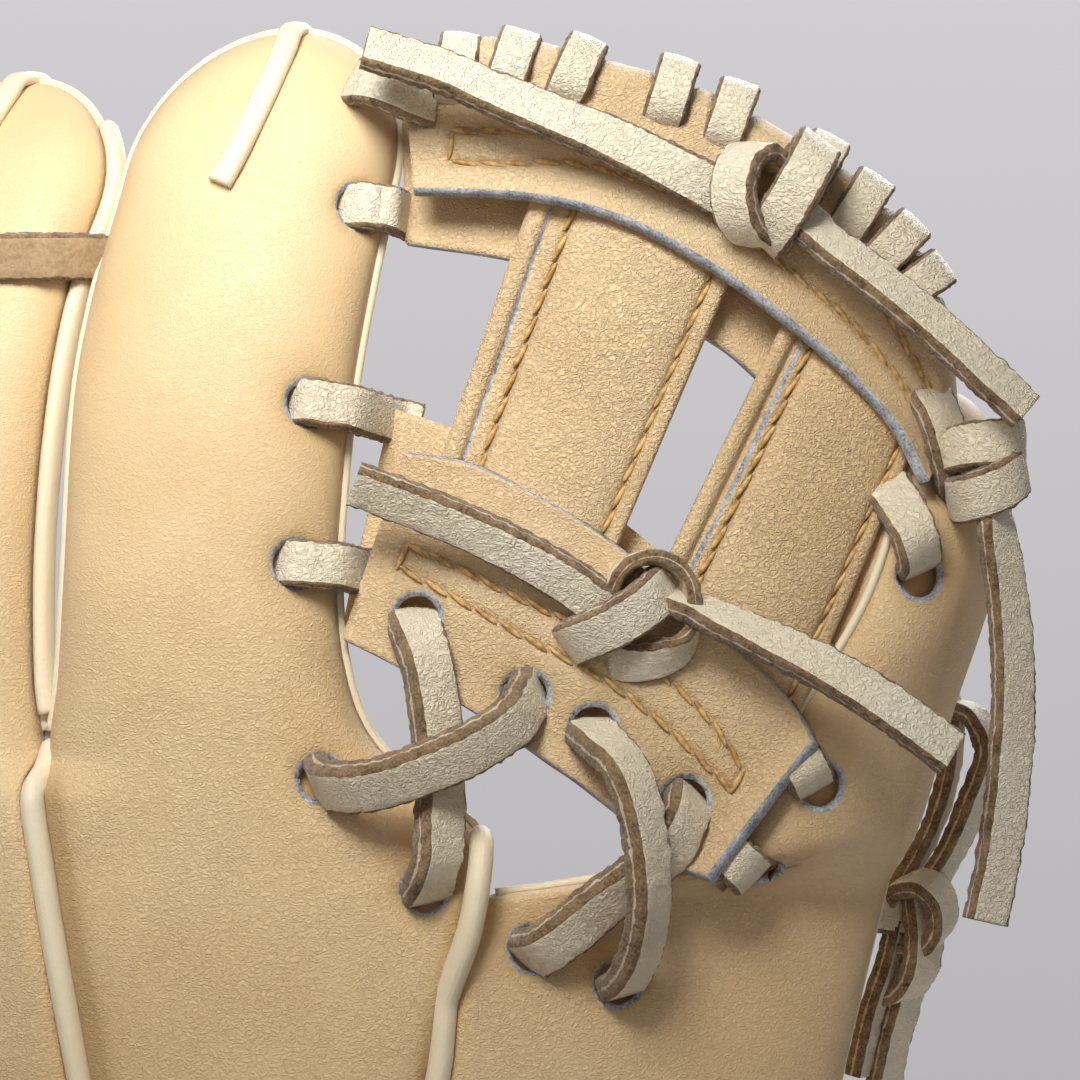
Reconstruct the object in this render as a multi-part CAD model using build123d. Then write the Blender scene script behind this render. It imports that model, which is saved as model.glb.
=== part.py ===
from build123d import *
import math
import os

# A right-hand thrower's infield baseball glove, 295 mm class, standing upright on its heel.
# Millimetres. +X towards the thumb, +Y towards the pocket (palm side), +Z towards the fingertips.
# The origin is under the glove, at the centre of the box around it.

os.makedirs("parts", exist_ok=True)

# ---------------------------------------------------------------- driving dimensions
ORIGIN = (-6.13, 50.75, 0.0)    # where the origin lies in the pattern's coordinates, used below
SHELL_T = 2.6           # thickness of the shell leather
WELT_T = 3.0            # thickness of the welting strips
WELT_PROUD = 2.2        # how far a welt stands above the leather beside it
SEAM_GAP = 2.0          # half the gap between two back panels, which a welt fills
LACE_W = 8.2            # width of the rawhide lace
LACE_T = 3.2            # thickness of the rawhide lace
BACK_CREST = 13.0       # how far the back of a finger stands out from its middle
PALM_CREST = 12.0       # the same on the palm side
HAND_BACK = 4.0         # what the hand compartment adds at the back
HAND_PALM = 8.0         # what the hand compartment adds in front
CLEAR = 0.35            # clearance between neighbouring pieces
FOLD_GAP = 1.0          # half the gap that the fold leaves between finger side and thumb side
BAR_FOLD_GAP = 3.2      # half the same gap in the front leather of the web's bars
BAR_BACK_GAP = 0.3      # half the same gap in the back leather of the web's bars
EDGE_FULLNESS = 2.4     # power of the curve across a finger, higher is squarer
BACK_SEAM_RISE = 0.74   # share of the crest that the back keeps at a seam between two fingers
PALM_SEAM_RISE = 0.97   # the same in front, where the palm is one smooth leather
EDGE_RISE = 0.04        # the same at a finger's free edge
CROTCH_BLEND = 9.0      # height over which two fingers part above their crotch
HAND_TOP = 118.0        # height at which the hand compartment begins
HAND_BLEND = 60.0       # length over which it reaches its full depth
HEEL_SHARE = 0.62       # share of the depth that is left at the heel
HEEL_BLEND = 75.0       # height by which the depth grows by its own amount once
FINGERS = ["pinky", "ring", "middle", "index"]

# Lines on the middle surface, each a list of (z, x, y). The seams run from the heel to a crotch,
# and the free edges go on from there to a fingertip.
SEAM_PINKY_EDGE = [(0, -76, 52), (40, -91, 62), (81, -106, 76), (124, -121, 91)]
SEAM_PINKY_RING = [(0, -60, 35), (40, -73, 40), (81, -88, 49), (124, -104, 60)]
SEAM_RING_MIDDLE = [(0, -41, 24), (40, -51, 24), (81, -64, 28), (124, -79, 34)]
SEAM_MIDDLE_INDEX = [(0, -19, 16), (40, -27, 14), (81, -36, 14), (124, -44, 14.5)]
SEAM_INDEX_THUMB = [(0, 6, 14), (40, 13, 10), (81, 21.5, 8), (112, 29, 6.5)]
SEAM_THUMB_EDGE = [(0, 74, 30), (40, 85, 30), (81, 94, 32), (122, 104, 36)]

DIGITS = {
    "pinky": {
        "left": SEAM_PINKY_EDGE + [(165, -129, 106), (226, -128, 121)],
        "right": SEAM_PINKY_RING + [(132, -107, 66), (165, -111, 75), (226, -111, 91)],
        "tip": 224, "crotch": (None, 128)},
    "ring": {
        "left": SEAM_PINKY_RING + [(132, -105.5, 63), (170, -109.5, 72), (247, -104, 88)],
        "right": SEAM_RING_MIDDLE + [(138, -83, 39), (170, -85.5, 43), (200, -86, 48), (247, -79, 60)],
        "tip": 246, "crotch": (128, 134)},
    "middle": {
        "left": SEAM_RING_MIDDLE + [(138, -81, 36), (170, -83, 39), (200, -82.5, 43), (257, -73, 58)],
        "right": SEAM_MIDDLE_INDEX + [(139, -46, 16.5), (150, -47.5, 17), (175, -47.5, 18),
                                      (200, -45.3, 20), (218, -42, 24), (236, -36, 29), (257, -31, 37)],
        "tip": 257, "crotch": (134, 138)},
    "index": {
        "left": SEAM_MIDDLE_INDEX + [(139, -45, 15), (150, -43.6, 14), (168, -42.5, 13.5),
                                     (200, -40.8, 17), (218, -37.8, 21), (236, -33.2, 26), (266, -26, 36)],
        "right": SEAM_INDEX_THUMB + [(124, 29.5, 6), (131, 20.5, 6.5), (140, 11.5, 7), (150, 7.3, 7),
                                     (165, 5.4, 7), (185, 6.4, 8), (200, 8, 9.5), (218, 11, 13),
                                     (236, 14.6, 18), (266, 20, 27)],
        "tip": 264.5, "crotch": (138, 120)},
    "thumb": {
        "left": SEAM_INDEX_THUMB + [(115, 47, 5.5), (119, 66, 4.5), (124, 74.5, 4), (140, 82.5, 3.5),
                                    (162, 96, 5), (178, 102, 8), (202, 108, 15)],
        "right": SEAM_THUMB_EDGE + [(147, 110, 40), (171, 115.5, 44), (202, 117, 50)],
        "tip": 201, "crotch": (110, None)},
}
DOME = 25.0             # length over which a fingertip rounds off
HALF_SECTION = [-1.0, -0.82, -0.45, 0.0, 0.45, 0.82, 1.0]
LEVELS = [0, 22, 45, 72, 95, 108, 114, 119, 124, 131, 140, 150, 165, 182, 200, 218]

# The glove folds about a straight line from the heel through the crotch to the top of the web.
FOLD_POINT = (33.0, 20.5, 124.0)
FOLD_AXIS = (0.3938, -0.0778, 0.9158)

# The web, seen from the back: (x, z) along each edge, from the index finger to the thumb.
TOP_BAR_LOW = [(18.4, 235.6), (40.5, 234.2), (54.3, 230.6), (68.1, 223.6), (81.9, 214.1),
               (94.1, 203.8), (102.8, 194.3), (108, 184.6)]
TOP_BAR_HIGH = [(16.5, 258.5), (34, 260.5), (51, 256.5), (69, 251), (84, 243), (98, 233.5),
                (108.5, 219), (112.5, 192)]
LOW_BAR_LOW = [(6.2, 157.4), (14.6, 153.3), (26.5, 146.5), (40.5, 137.5), (49, 131.5),
               (57.7, 124.4), (64, 118.5), (69, 117)]
LOW_BAR_HIGH = [(17, 189.5), (28.4, 187.3), (43.9, 179.6), (54.2, 172.7), (68, 160.6),
                (76.1, 153.8), (84, 146), (87, 140)]
FRONT_TOP_LOW = [(17.4, 226), (38.3, 222.3), (60, 214), (72, 207.5), (79, 201.5), (89, 193),
                 (98, 184), (104, 177)]
FRONT_LOW_HIGH = [(15, 193), (27, 192), (43.9, 184.5), (56, 176.5), (70, 164), (79, 156),
                  (86, 148), (89, 142)]
INDEX_POST = [(19.5, 178), (43.2, 246), (76.3, 226), (50.6, 165.5)]
THUMB_POST = [(59, 164.5), (87, 221), (108.5, 197), (84, 141)]
LOOP_W = 7.0            # width of the lace whipped over the web's top edge
LOOP_T = 2.4            # thickness of that lace
BAR_T = 2.6             # thickness of a web bar's leather
POST_T = 5.6            # thickness of a stuffed web post
POST_BOW = 0.6          # how far the bars' front leather bows out over the posts
WEB_HOLE_R = 4.7        # radius of the punched lace holes
INDEX_HOLES = [(9.5, 232.6), (0.9, 198.2), (-1.4, 170.4), (3.0, 133.5), (20.9, 114.8)]
THUMB_HOLES = [(39.3, 104.2), (54.2, 97.7), (78.6, 116.2), (89.4, 131.8), (106.7, 168.2)]
BAR_HOLES_INDEX = [(19.3, 161.0), (38, 147.8)]
BAR_HOLES_THUMB = [(49.7, 142.0), (65.5, 129.6)]
TOP_LOOPS = [(26.1, 257.4, -8), (35.8, 258, -18), (47, 256.8, -24), (63.5, 253.1, -17), (73.8, 249, -19),
             (89, 239.9, -28), (96.6, 233.2, -33), (102.6, 226.2, -44), (107, 219.4, -54)]

# The wrist strap, seen from above at its middle height: (x, y) from the pinky to the thumb.
STRAP = [(-83, 25), (-76, 16), (-67, 9.0), (-58, 4.6), (-48, -0.8), (-36, -5.2), (-20, -8.4),
         (-4, -9.8), (5, -9.6), (12, -9)]
STRAP_END = [(15.5, -8.6), (30, -6.8), (46, -3.6), (62, 1.6)]
STRAP_Z = 38.0          # height of the strap's middle
STRAP_W = 25.0          # its width
STRAP_T = 3.0           # its thickness
FLEECE_W = 21.0         # width of the fleece behind it
HEEL_LACE_Z = 12.0      # height of the lace along the heel

# The hand opening in the back: an arch over a straight door down to the heel.
OPENING_MIDDLE = (-8.0, 14.0)
OPENING_R = 56.0
OPENING_DEPTH = (-60.0, 90.0)

# Laces, seen from the back: (x, y, z) along the middle of each.
UPPER_WRAP = [(74.6, -0.4, 241.5), (74.4, -1.8, 239.5), (74.8, -3.6, 234), (75.4, -1.8, 228),
              (75.6, 0.2, 226)]
UPPER_BAND = [(87, 0.4, 240.5), (86, -1.6, 238.5), (83, -4, 233.5), (80, -1.8, 228), (79, 0.6, 226)]
UPPER_TAIL_LEFT = [(68.4, 1.2, 235.0), (50.8, -1, 245.7), (30.2, -4, 252.5), (11, -7, 258.5)]
UPPER_TAIL_RIGHT = [(89.5, -0.6, 228.2), (98.9, -4, 221.7), (112.6, -6, 210.6), (124.6, -6, 198.5)]
LOWER_WRAP = [(58, -6, 171.5), (58, -7.6, 169.5), (58, -9.6, 162), (58.5, -7.6, 155), (58.5, -6, 153)]
LOWER_BAND = [(54.5, -5.8, 166), (56, -6.4, 164.5), (59.5, -6.6, 160.5), (64, -6.4, 156),
              (66, -5.6, 154.5)]
LOWER_TAIL_LEFT = [(47.5, -5.9, 163.4), (36, -6.8, 169.3), (25, -7.6, 175.3), (8, -9, 183.6)]
LOWER_TAIL_RIGHT = [(67.5, -7.4, 161.8), (81.6, -12, 157.2), (97, -14, 148.6), (111.5, -12, 137.5)]
THUMB_TAIL = [(120.4, 8.5, 186), (120.6, 7, 176), (121.5, 7.5, 155.4), (120.7, 8, 133), (118.1, 8, 108.9)]
THUMB_EDGE_KNOT = [(98, 44, 110), (102, 48, 110), (107, 49, 110.6), (111, 46.6, 112)]
THUMB_EDGE_ENDS = [[(103.5, 48, 115), (105.6, 50, 122), (109, 51, 130.5), (112.3, 52, 145)],
                   [(107, 45.4, 113), (111, 47, 120), (115.5, 48, 130), (120.5, 48, 139)],
                   [(103.4, 48, 106.5), (102, 49.4, 101), (100, 49, 94.7), (98.3, 48, 80.3)]]
FINGER_LACES = {"middle": (224, 0.3), "ring": (213, 1.5), "pinky": (190, 1.5)}     # height, slope
UPRIGHT, LEVEL = (0, 0, 1), (1, 0, 0)

# Welting: where each run starts and ends, as heights.
SEAM_WELTS = {"pinky_ring": ("ring", 54, 126), "ring_middle": ("middle", 72, 132),
              "middle_index": ("index", 72, 137), "index_thumb": ("thumb", 72, 111)}
SIDE_WELTS = {"pinky": 134, "ring": 140, "middle": 144}
TIP_WELT = [(28, -0.16, 1), (22, -0.08, 1), (14, 0.0, 1), (8, 0.06, 1), (4, 0.1, 1), (1.6, 0.12, 1),
            (1.6, 0.12, -1), (5, 0.1, -1), (12, 0.08, -1)]     # depth below the tip, place across, face


# ---------------------------------------------------------------- the glove's form
def along(line, z):
    """Point (x, y) of a line at height z, by cubic interpolation."""
    zs = [p[0] for p in line]
    z = min(max(z, zs[0]), zs[-1])
    i = max(k for k in range(len(zs) - 1) if zs[k] <= z)
    p1 = line[i]
    p2 = line[i + 1]
    p0 = line[i - 1] if i else p1
    p3 = line[i + 2] if i + 2 < len(line) else p2
    h = p2[0] - p1[0]
    t = (z - p1[0]) / h
    out = []
    for c in (1, 2):
        m1 = (p2[c] - p0[c]) / (p2[0] - p0[0])
        m2 = (p3[c] - p1[c]) / (p3[0] - p1[0])
        out.append((2 * t**3 - 3 * t**2 + 1) * p1[c] + (t**3 - 2 * t**2 + t) * h * m1
                   + (3 * t**2 - 2 * t**3) * p2[c] + (t**3 - t**2) * h * m2)
    return out


def joined(crotch, z):
    """1 where two digits are one compartment below their crotch, 0 where they are apart."""
    if crotch is None:
        return 0.0
    t = min(max((crotch - z) / CROTCH_BLEND, 0.0), 1.0)
    return t * t * (3 - 2 * t)


def section(name, z, seam=(0.0, 0.0), inset=(0.0, 0.0, 0.0), tip_drop=0.0):
    """Edges and depths of a digit at height z.

    seam moves the joined left and right edges outwards, and inset moves the free edges, the back
    and the palm surface inwards.
    """
    digit = DIGITS[name]
    left = Vector(*along(digit["left"], z))
    right = Vector(*along(digit["right"], z))
    k_left, k_right = (joined(c, z) for c in digit["crotch"])
    tip = digit["tip"] - tip_drop
    t = max(0.0, (z - (tip - DOME)) / DOME)
    dome = math.sqrt(max(0.0, 1 - t * t))
    chord = (right - left).normalized()
    out = Vector(chord.Y, -chord.X)
    left += chord * (inset[0] * (1 - k_left) - seam[0] * k_left)
    right -= chord * (inset[0] * (1 - k_right) - seam[1] * k_right)
    middle = (left + right) * 0.5
    half = (right - left) * (0.5 * dome)
    low = min(max((HAND_TOP - z) / HAND_BLEND, 0), 1)
    heel = min(1.0, HEEL_SHARE + z / HEEL_BLEND)
    back = (BACK_CREST + HAND_BACK * low) * heel
    palm = (PALM_CREST + HAND_PALM * low) * heel
    return {"left": middle - half, "right": middle + half, "out": out, "z": z,
            "back": max(back - inset[1], 0.5) * dome, "palm": max(palm - inset[2], 0.5) * dome,
            "k": (k_left, k_right)}


def surface(sec, s, side):
    """Point of the back (side 1) or palm (side -1) surface at s, from -1 at the left edge to 1."""
    crest = sec["back"] if side > 0 else sec["palm"]
    share = BACK_SEAM_RISE if side > 0 else PALM_SEAM_RISE
    edge = [max(EDGE_RISE, share * k) * crest for k in sec["k"]]
    rim = edge[0] + (edge[1] - edge[0]) * (s + 1) / 2
    depth = rim + (crest - rim) * math.sqrt(max(0.0, 1 - abs(s) ** EDGE_FULLNESS))
    p = sec["left"] + (sec["right"] - sec["left"]) * ((s + 1) / 2) + sec["out"] * (depth * side)
    return Vector(p.X, p.Y, sec["z"])


def section_face(sec):
    """Closed face around a digit's section."""
    back = [surface(sec, s, 1) for s in HALF_SECTION]
    palm = [surface(sec, s, -1) for s in reversed(HALF_SECTION)]
    edges = [Edge.make_spline(back), Edge.make_line(back[-1], palm[0]),
             Edge.make_spline(palm), Edge.make_line(palm[-1], back[0])]
    return Face(Wire(edges))


def levels(name, tip_drop=0.0):
    """Heights of a digit's sections, closer together in its rounded tip."""
    tip = DIGITS[name]["tip"] - tip_drop
    low = [z for z in LEVELS if z < tip - DOME - 4]
    return low + [tip - DOME * (1 - t) for t in (0.0, 0.35, 0.62, 0.82, 0.93, 0.985)]


def digit_solid(name, seam=(0.0, 0.0), inset=(0.0, 0.0, 0.0), tip_drop=0.0):
    """Solid volume of one digit, from the heel to its tip."""
    faces = [section_face(section(name, z, seam, inset, tip_drop)) for z in levels(name, tip_drop)]
    return Solid.make_loft([f.outer_wire() for f in faces], ruled=True)


def front_tool(name, gap):
    """Everything in front of a digit's middle surface, moved forwards by gap."""
    faces = []
    for z in levels(name):
        sec = section(name, z)
        chord = Vector(-sec["out"].Y, sec["out"].X)
        start = sec["left"] - chord * 30 - sec["out"] * gap
        end = sec["right"] + chord * 30 - sec["out"] * gap
        far = sec["out"] * -80
        corners = [start, end, end + far, start + far]
        faces.append(Wire.make_polygon([Vector(p.X, p.Y, z) for p in corners]))
    return Solid.make_loft(faces, ruled=True)


def on_surface(name, x, z, side=1):
    """Point on a digit's back (side 1) or palm (side -1) at x and z, and its outward direction."""
    sec = section(name, z)
    low, high = -1.0, 1.0
    for _ in range(40):
        mid = (low + high) / 2
        if surface(sec, mid, side).X < x:
            low = mid
        else:
            high = mid
    p = surface(sec, low, side)
    before = surface(sec, max(low - 0.04, -1), side)
    after = surface(sec, min(low + 0.04, 1), side)
    run = (after - before).normalized()
    return p, Vector(run.Y, -run.X, 0) * side


def web_y(x, z):
    """Depth of the web's middle surface."""
    return 2 + 0.0032 * (x - 58) ** 2 + 0.10 * max(0.0, z - 165)


def curve_at(points, share):
    """Point at a share of the way along a run of points, counted by index."""
    t = share * (len(points) - 1)
    i = min(int(t), len(points) - 2)
    return [a + (b - a) * (t - i) for a, b in zip(points[i], points[i + 1])]


# ---------------------------------------------------------------- ways to make a piece
def strip(low, high, back, front, steps=14):
    """Sheet between two edges of the web, from depth back to front of its middle surface."""
    wires = []
    for k in range(steps + 1):
        (xa, za), (xb, zb) = curve_at(low, k / steps), curve_at(high, k / steps)
        ya, yb = web_y(xa, za), web_y(xb, zb)
        wires.append(Wire.make_polygon([Vector(xa, ya + back, za), Vector(xb, yb + back, zb),
                                        Vector(xb, yb + front, zb), Vector(xa, ya + front, za)]))
    return Solid.make_loft(wires, ruled=True)


def ribbon(points, across, width=LACE_W, thickness=LACE_T):
    """Flat lace along points. across is the direction of its width, one for all or one for each."""
    pts = [Vector(*p) for p in points]
    dirs = across if isinstance(across, list) else [across] * len(pts)
    wires = []
    for i, p in enumerate(pts):
        run = (pts[min(i + 1, len(pts) - 1)] - pts[max(i - 1, 0)]).normalized()
        side = Vector(*dirs[i])
        side = (side - run * side.dot(run)).normalized()
        up = run.cross(side)
        w = side * (width / 2)
        h = up * (thickness / 2)
        wires.append(Wire.make_polygon([p - w - h, p + w - h, p + w + h, p - w + h]))
    return Solid.make_loft(wires, ruled=True)


def fold_side(sign, gap):
    """Half space on one side of the fold, +1 towards the thumb, moved back by gap."""
    normal = Vector(FOLD_AXIS[2], 0, -FOLD_AXIS[0]).normalized() * sign
    plane = Plane(origin=Vector(*FOLD_POINT) + normal * gap, x_dir=(0, 1, 0), z_dir=normal)
    return Solid.make_box(600, 600, 600, plane.offset(0)).moved(
        Location(plane.x_dir * -300 + plane.y_dir * -300))


def bored(solid, places):
    """solid with a round hole along each (point, direction)."""
    for point, direction in places:
        d = Vector(direction).normalized()
        start = Vector(*point) - d * 9
        solid = solid - Solid.make_cylinder(WEB_HOLE_R, 18, Plane(origin=start, z_dir=d))
    return solid


def largest(shape):
    """The largest solid of a shape."""
    return max(shape.solids(), key=lambda solid: solid.volume)


def write(name, shape):
    """Writes one node, as its separate solids, with the origin in its place."""
    shapes = shape if isinstance(shape, list) else [shape]
    solids = [solid for made in shapes for solid in made.solids() if solid.volume > 1.0]
    solids = [solid.moved(Location(Vector(*ORIGIN) * -1)) for solid in solids]
    export_step(solids[0] if len(solids) == 1 else Compound(children=solids), f"parts/{name}.step")


# ---------------------------------------------------------------- the shell
def volumes(names, joint, inset, drop):
    """Solid of several digits together. joint is how far they overlap at the seams between them."""
    made = [digit_solid(n, (joint, joint), inset, drop) for n in names]
    return made[0].fuse(*made[1:]) if len(made) > 1 else made[0]


def across_the_fold(names, gap=FOLD_GAP):
    """Everything beyond the seam of index and thumb, seen from the digits named, less a gap."""
    far = -300 if names == ["thumb"] else 300
    line = SEAM_INDEX_THUMB + [(118, 34, 6), (126, 38, 6)]
    wires = []
    for z, x, _ in line:
        edge = x + math.copysign(gap, -far)
        corners = [(edge, -100), (far, -100), (far, 150), (edge, 150)]
        wires.append(Wire.make_polygon([Vector(cx, cy, z) for cx, cy in corners]))
    below = wires[0].moved(Location((0, 0, -5)))
    return Solid.make_loft(wires, ruled=True).fuse(Solid.make_loft([below, wires[0]], ruled=True))


def cavity(inset, drop):
    """The whole hollow inside the glove, open across every seam."""
    made = [digit_solid(n, (1.3, 1.3), inset, drop) for n in DIGITS]
    return made[0].fuse(*made[1:])


def hand_opening():
    """Prism that cuts the hand opening out of the back."""
    x, z = OPENING_MIDDLE
    start, depth = OPENING_DEPTH
    front = Plane(origin=(x, start, z), x_dir=(1, 0, 0), z_dir=(0, 1, 0))
    arch = Solid.make_cylinder(OPENING_R, depth, front)
    door = Solid.make_box(2 * OPENING_R, depth, 40, Plane(origin=(x - OPENING_R, start, z - 40)))
    return arch.fuse(door)


def shells(hollow):
    """Writes the five back panels and the two halves of the palm."""
    opening = hand_opening()
    holes = {"index": [on_surface("index", x, z) for x, z in INDEX_HOLES],
             "thumb": [on_surface("thumb", x, z) for x, z in THUMB_HOLES]}
    for n in DIGITS:
        gap = (-SEAM_GAP, -SEAM_GAP)
        panel = digit_solid(n, gap) - hollow - front_tool(n, -CLEAR / 2) - opening
        write(f"{n}_back_panel", bored(panel, holes.get(n, [])))
    for body, names in (("finger_side", FINGERS), ("thumb_side", ["thumb"])):
        halves = []
        for n in names:
            front = (digit_solid(n, (0.6, 0.6)) - hollow).intersect(front_tool(n, CLEAR / 2))
            halves += front.solids()
        whole = halves[0].fuse(*halves[1:]) if len(halves) > 1 else halves[0]
        write(f"palm_leather_{body}", whole - across_the_fold(names))


def linings():
    """Writes the two halves of the lining glove."""
    inner = cavity((SHELL_T + 2.9, 4.9, 8.2), 8.0)
    for body, names in (("finger_side", FINGERS), ("thumb_side", ["thumb"])):
        outer = volumes(names, 0.6, (SHELL_T + 1.5, 3.4, 6.8), 6.5)
        outer = outer - across_the_fold(names, WELT_T / 2 + 3 * CLEAR)
        lining = outer - inner - Solid.make_box(400, 300, 8, Plane(origin=(-200, -100, -1)))
        lining = lining - hand_opening().moved(Location((0, 0, 1)))
        write(f"lining_{body}", lining)


def felt_pads():
    """Writes the felt pads behind the palm leather."""
    slab = Solid.make_box(400, 300, 92, Plane(origin=(-200, -100, 10)))
    hollow = cavity((SHELL_T + 1.2, 6.0, 6.4), 8.0)
    for body, names in (("palm_pad", FINGERS), ("thumb_pad", ["thumb"])):
        outer = volumes(names, 0.6, (SHELL_T + 0.6, 3.0, SHELL_T + CLEAR), 8.0) - hollow
        outer = outer - across_the_fold(names)
        found = []
        for n in names:
            for piece in outer.intersect(front_tool(n, 6.0)).solids():
                cut = piece.intersect(slab)
                found += cut.solids() if cut else []
        write(body, found[0].fuse(*found[1:]) if len(found) > 1 else found[0])


def stays():
    """Writes the stiff inserts in the pinky and the thumb."""
    for n, low, high in (("pinky", 134, 196), ("thumb", 122, 172)):
        points, across = [], []
        for k in range(9):
            z = low + (high - low) * k / 8
            sec = section(n, z)
            p = surface(sec, 0.0, -1) + sec["out"] * (SHELL_T + 1.45)
            points.append(p)
            across.append(Vector(-sec["out"].Y, sec["out"].X, 0))
        write(f"{n}_stay", ribbon(points, across, 9.0, 1.4))


def seam_welts():
    """Writes the welting in the seams between back panels."""
    count = 12
    for name, (digit, low, high) in SEAM_WELTS.items():
        points, across = [], []
        for k in range(count + 1):
            sec = section(digit, low + (high - low) * k / count)
            points.append(surface(sec, -1.0, 1) + sec["out"] * (WELT_PROUD - 2.4))
            across.append(sec["out"])
        write(f"{name}_welt", ribbon(points, across, 4.8, WELT_T))


def side_welts():
    """Writes the welting along the free edges of the fingers."""
    count = 14
    for digit, low in SIDE_WELTS.items():
        points, across = [], []
        for k in range(count + 1):
            z = low + (DIGITS[digit]["tip"] - 9 - low) * k / count
            sec = section(digit, z)
            chord = Vector(-sec["out"].Y, sec["out"].X, 0)
            points.append(Vector(sec["right"].X, sec["right"].Y, z) + chord * 1.6)
            across.append(sec["out"])
        write(f"{digit}_side_welt", ribbon(points, across, 4.4, 2.6))


def tip_welts():
    """Writes the welting over the fingertips."""
    for digit in FINGERS:
        tip = DIGITS[digit]["tip"]
        points = []
        for down, s, side in TIP_WELT:
            sec = section(digit, tip - down)
            steep = min(1.0, down / 16)
            away = sec["out"] * (side * 2.1 * steep) + Vector(0, 0, 2.7 * (1 - steep))
            points.append(surface(sec, s, side) + away)
        sec = section(digit, tip - 20)
        write(f"{digit}_tip_welt", ribbon(points, Vector(-sec["out"].Y, sec["out"].X, 0.0), 4.2, 2.0))


# ---------------------------------------------------------------- the web
def fold_x(z):
    """Where the fold line passes at height z."""
    return FOLD_POINT[0] + (z - FOLD_POINT[2]) * FOLD_AXIS[0] / FOLD_AXIS[2]


def web():
    """Writes the stuffed posts and the halves of the two bars, each with a back and a front leather."""
    inner = POST_T / 2 + CLEAR
    outer = inner + BAR_T
    ahead = inner + POST_BOW
    bars = {"top_bar_back": strip(TOP_BAR_LOW, TOP_BAR_HIGH, -outer, -inner),
            "top_bar_front": strip(FRONT_TOP_LOW, TOP_BAR_HIGH, ahead, ahead + BAR_T),
            "low_bar_back": strip(LOW_BAR_LOW, LOW_BAR_HIGH, -outer, -inner),
            "low_bar_front": strip(LOW_BAR_LOW, FRONT_LOW_HIGH, ahead, ahead + BAR_T)}
    digits = [digit_solid(n, inset=(-CLEAR, -CLEAR, -CLEAR)) for n in ("index", "thumb")]
    for name, corners, digit in (("index_post", INDEX_POST, digits[0]),
                                 ("thumb_post", THUMB_POST, digits[1])):
        post = strip(corners[:2], corners[:1:-1], -POST_T / 2, POST_T / 2, 4)
        write(name, largest(post - digit))
    for name, bar in bars.items():
        gap = BAR_BACK_GAP if name.endswith("back") else BAR_FOLD_GAP
        for half, sign, places in (("index_half", -1, BAR_HOLES_INDEX),
                                   ("thumb_half", 1, BAR_HOLES_THUMB)):
            piece = largest(largest(bar.intersect(fold_side(sign, gap))) - digits[sign > 0])
            holes = [(Vector(x, web_y(x, z) - outer, z), (0, -1, 0)) for x, z in places]
            write(f"{name}_{half}", bored(piece, holes) if name == "low_bar_back" else piece)


# ---------------------------------------------------------------- the laces
def over(name, x, z, height=0.0):
    """Point a height above a digit's back."""
    on, out = on_surface(name, x, z)
    return on + out * height


def over_bar(x, z, height=0.0):
    """Point a height behind a web bar."""
    return Vector(x, web_y(x, z) - POST_T / 2 - CLEAR - BAR_T - height, z)


def lace(points, width=LACE_W, thickness=LACE_T):
    """Ribbon whose width lies in the upright plane, across the way from its first to its last point."""
    run = Vector(*points[-1]) - Vector(*points[0])
    return ribbon(points, Vector(-run.Z, 0, run.X).normalized(), width, thickness)


def hole_end(place, out, run):
    """Points of a lace that comes up out of a hole and turns along run."""
    return [place - out * 3.1, place + out * 0.4 + run * 0.6, place + out * 2.2 + run * 3.0,
            place + out * 2.6 + run * 6.5]


def threaded(start, start_out, end, end_out):
    """Lace from one hole to another."""
    run = (end - start).normalized()
    return lace(hole_end(start, start_out, run) + hole_end(end, end_out, run * -1)[::-1])


def edge_crossing(line, start, end, steps=60):
    """Where the straight way from start to end passes over a digit's edge, as (x, z)."""
    side = math.copysign(1, start.X - along(line, start.Z)[0])
    for k in range(steps + 1):
        place = start + (end - start) * (k / steps)
        if (place.X - along(line, place.Z)[0]) * side < 0:
            break
    return place.X, place.Z


def tucked(name, hole, end, past=3.5):
    """Lace from a hole in a digit, over its edge, to a place between the leathers of a web bar."""
    start, out = on_surface(name, *hole)
    x, z = edge_crossing(DIGITS[name]["right" if name == "index" else "left"], start, end)
    rim = over(name, x + math.copysign(2.2, start.X - x), z, 2.4)
    run = (end - start).normalized()
    flat = Vector(run.X, 0, run.Z).normalized()
    return lace(hole_end(start, out, run)[:3] + [rim, end, end + flat * past])


def web_laces():
    """Writes the laces that hold the web to the index finger, the thumb and the crotch."""
    targets = {"index": [(19, 231.8, 0.4), (16.5, 195.5, 0.4), (12, 168.6, 0.4)],
               "thumb": [(97, 179.5, -4.9), (77.5, 136.5, 0.4), (66.5, 123, 0.4)]}
    holes = {"index": INDEX_HOLES[:3], "thumb": THUMB_HOLES[:1:-1]}
    for name, ends in targets.items():
        pieces = []
        for hole, (x, z, depth) in zip(holes[name], ends):
            pieces.append(tucked(name, hole, Vector(x, web_y(x, z) + depth, z)))
        write(f"{name}_web_lace", pieces)
    back = Vector(0, -1, 0)
    raised = Location((0, -LACE_T * 0.6, 0))
    first = threaded(over_bar(*BAR_HOLES_INDEX[0]), back, *on_surface("index", *INDEX_HOLES[4]))
    second = threaded(over_bar(*BAR_HOLES_INDEX[1]), back, *on_surface("index", *INDEX_HOLES[3]))
    write("crotch_lace_index", first.fuse(second.moved(raised)))
    first = threaded(over_bar(*BAR_HOLES_THUMB[0]), back, *on_surface("thumb", *THUMB_HOLES[1]))
    second = threaded(over_bar(*BAR_HOLES_THUMB[1]), back, *on_surface("thumb", *THUMB_HOLES[0]))
    write("crotch_lace_thumb", second.fuse(first.moved(raised)))


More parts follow.
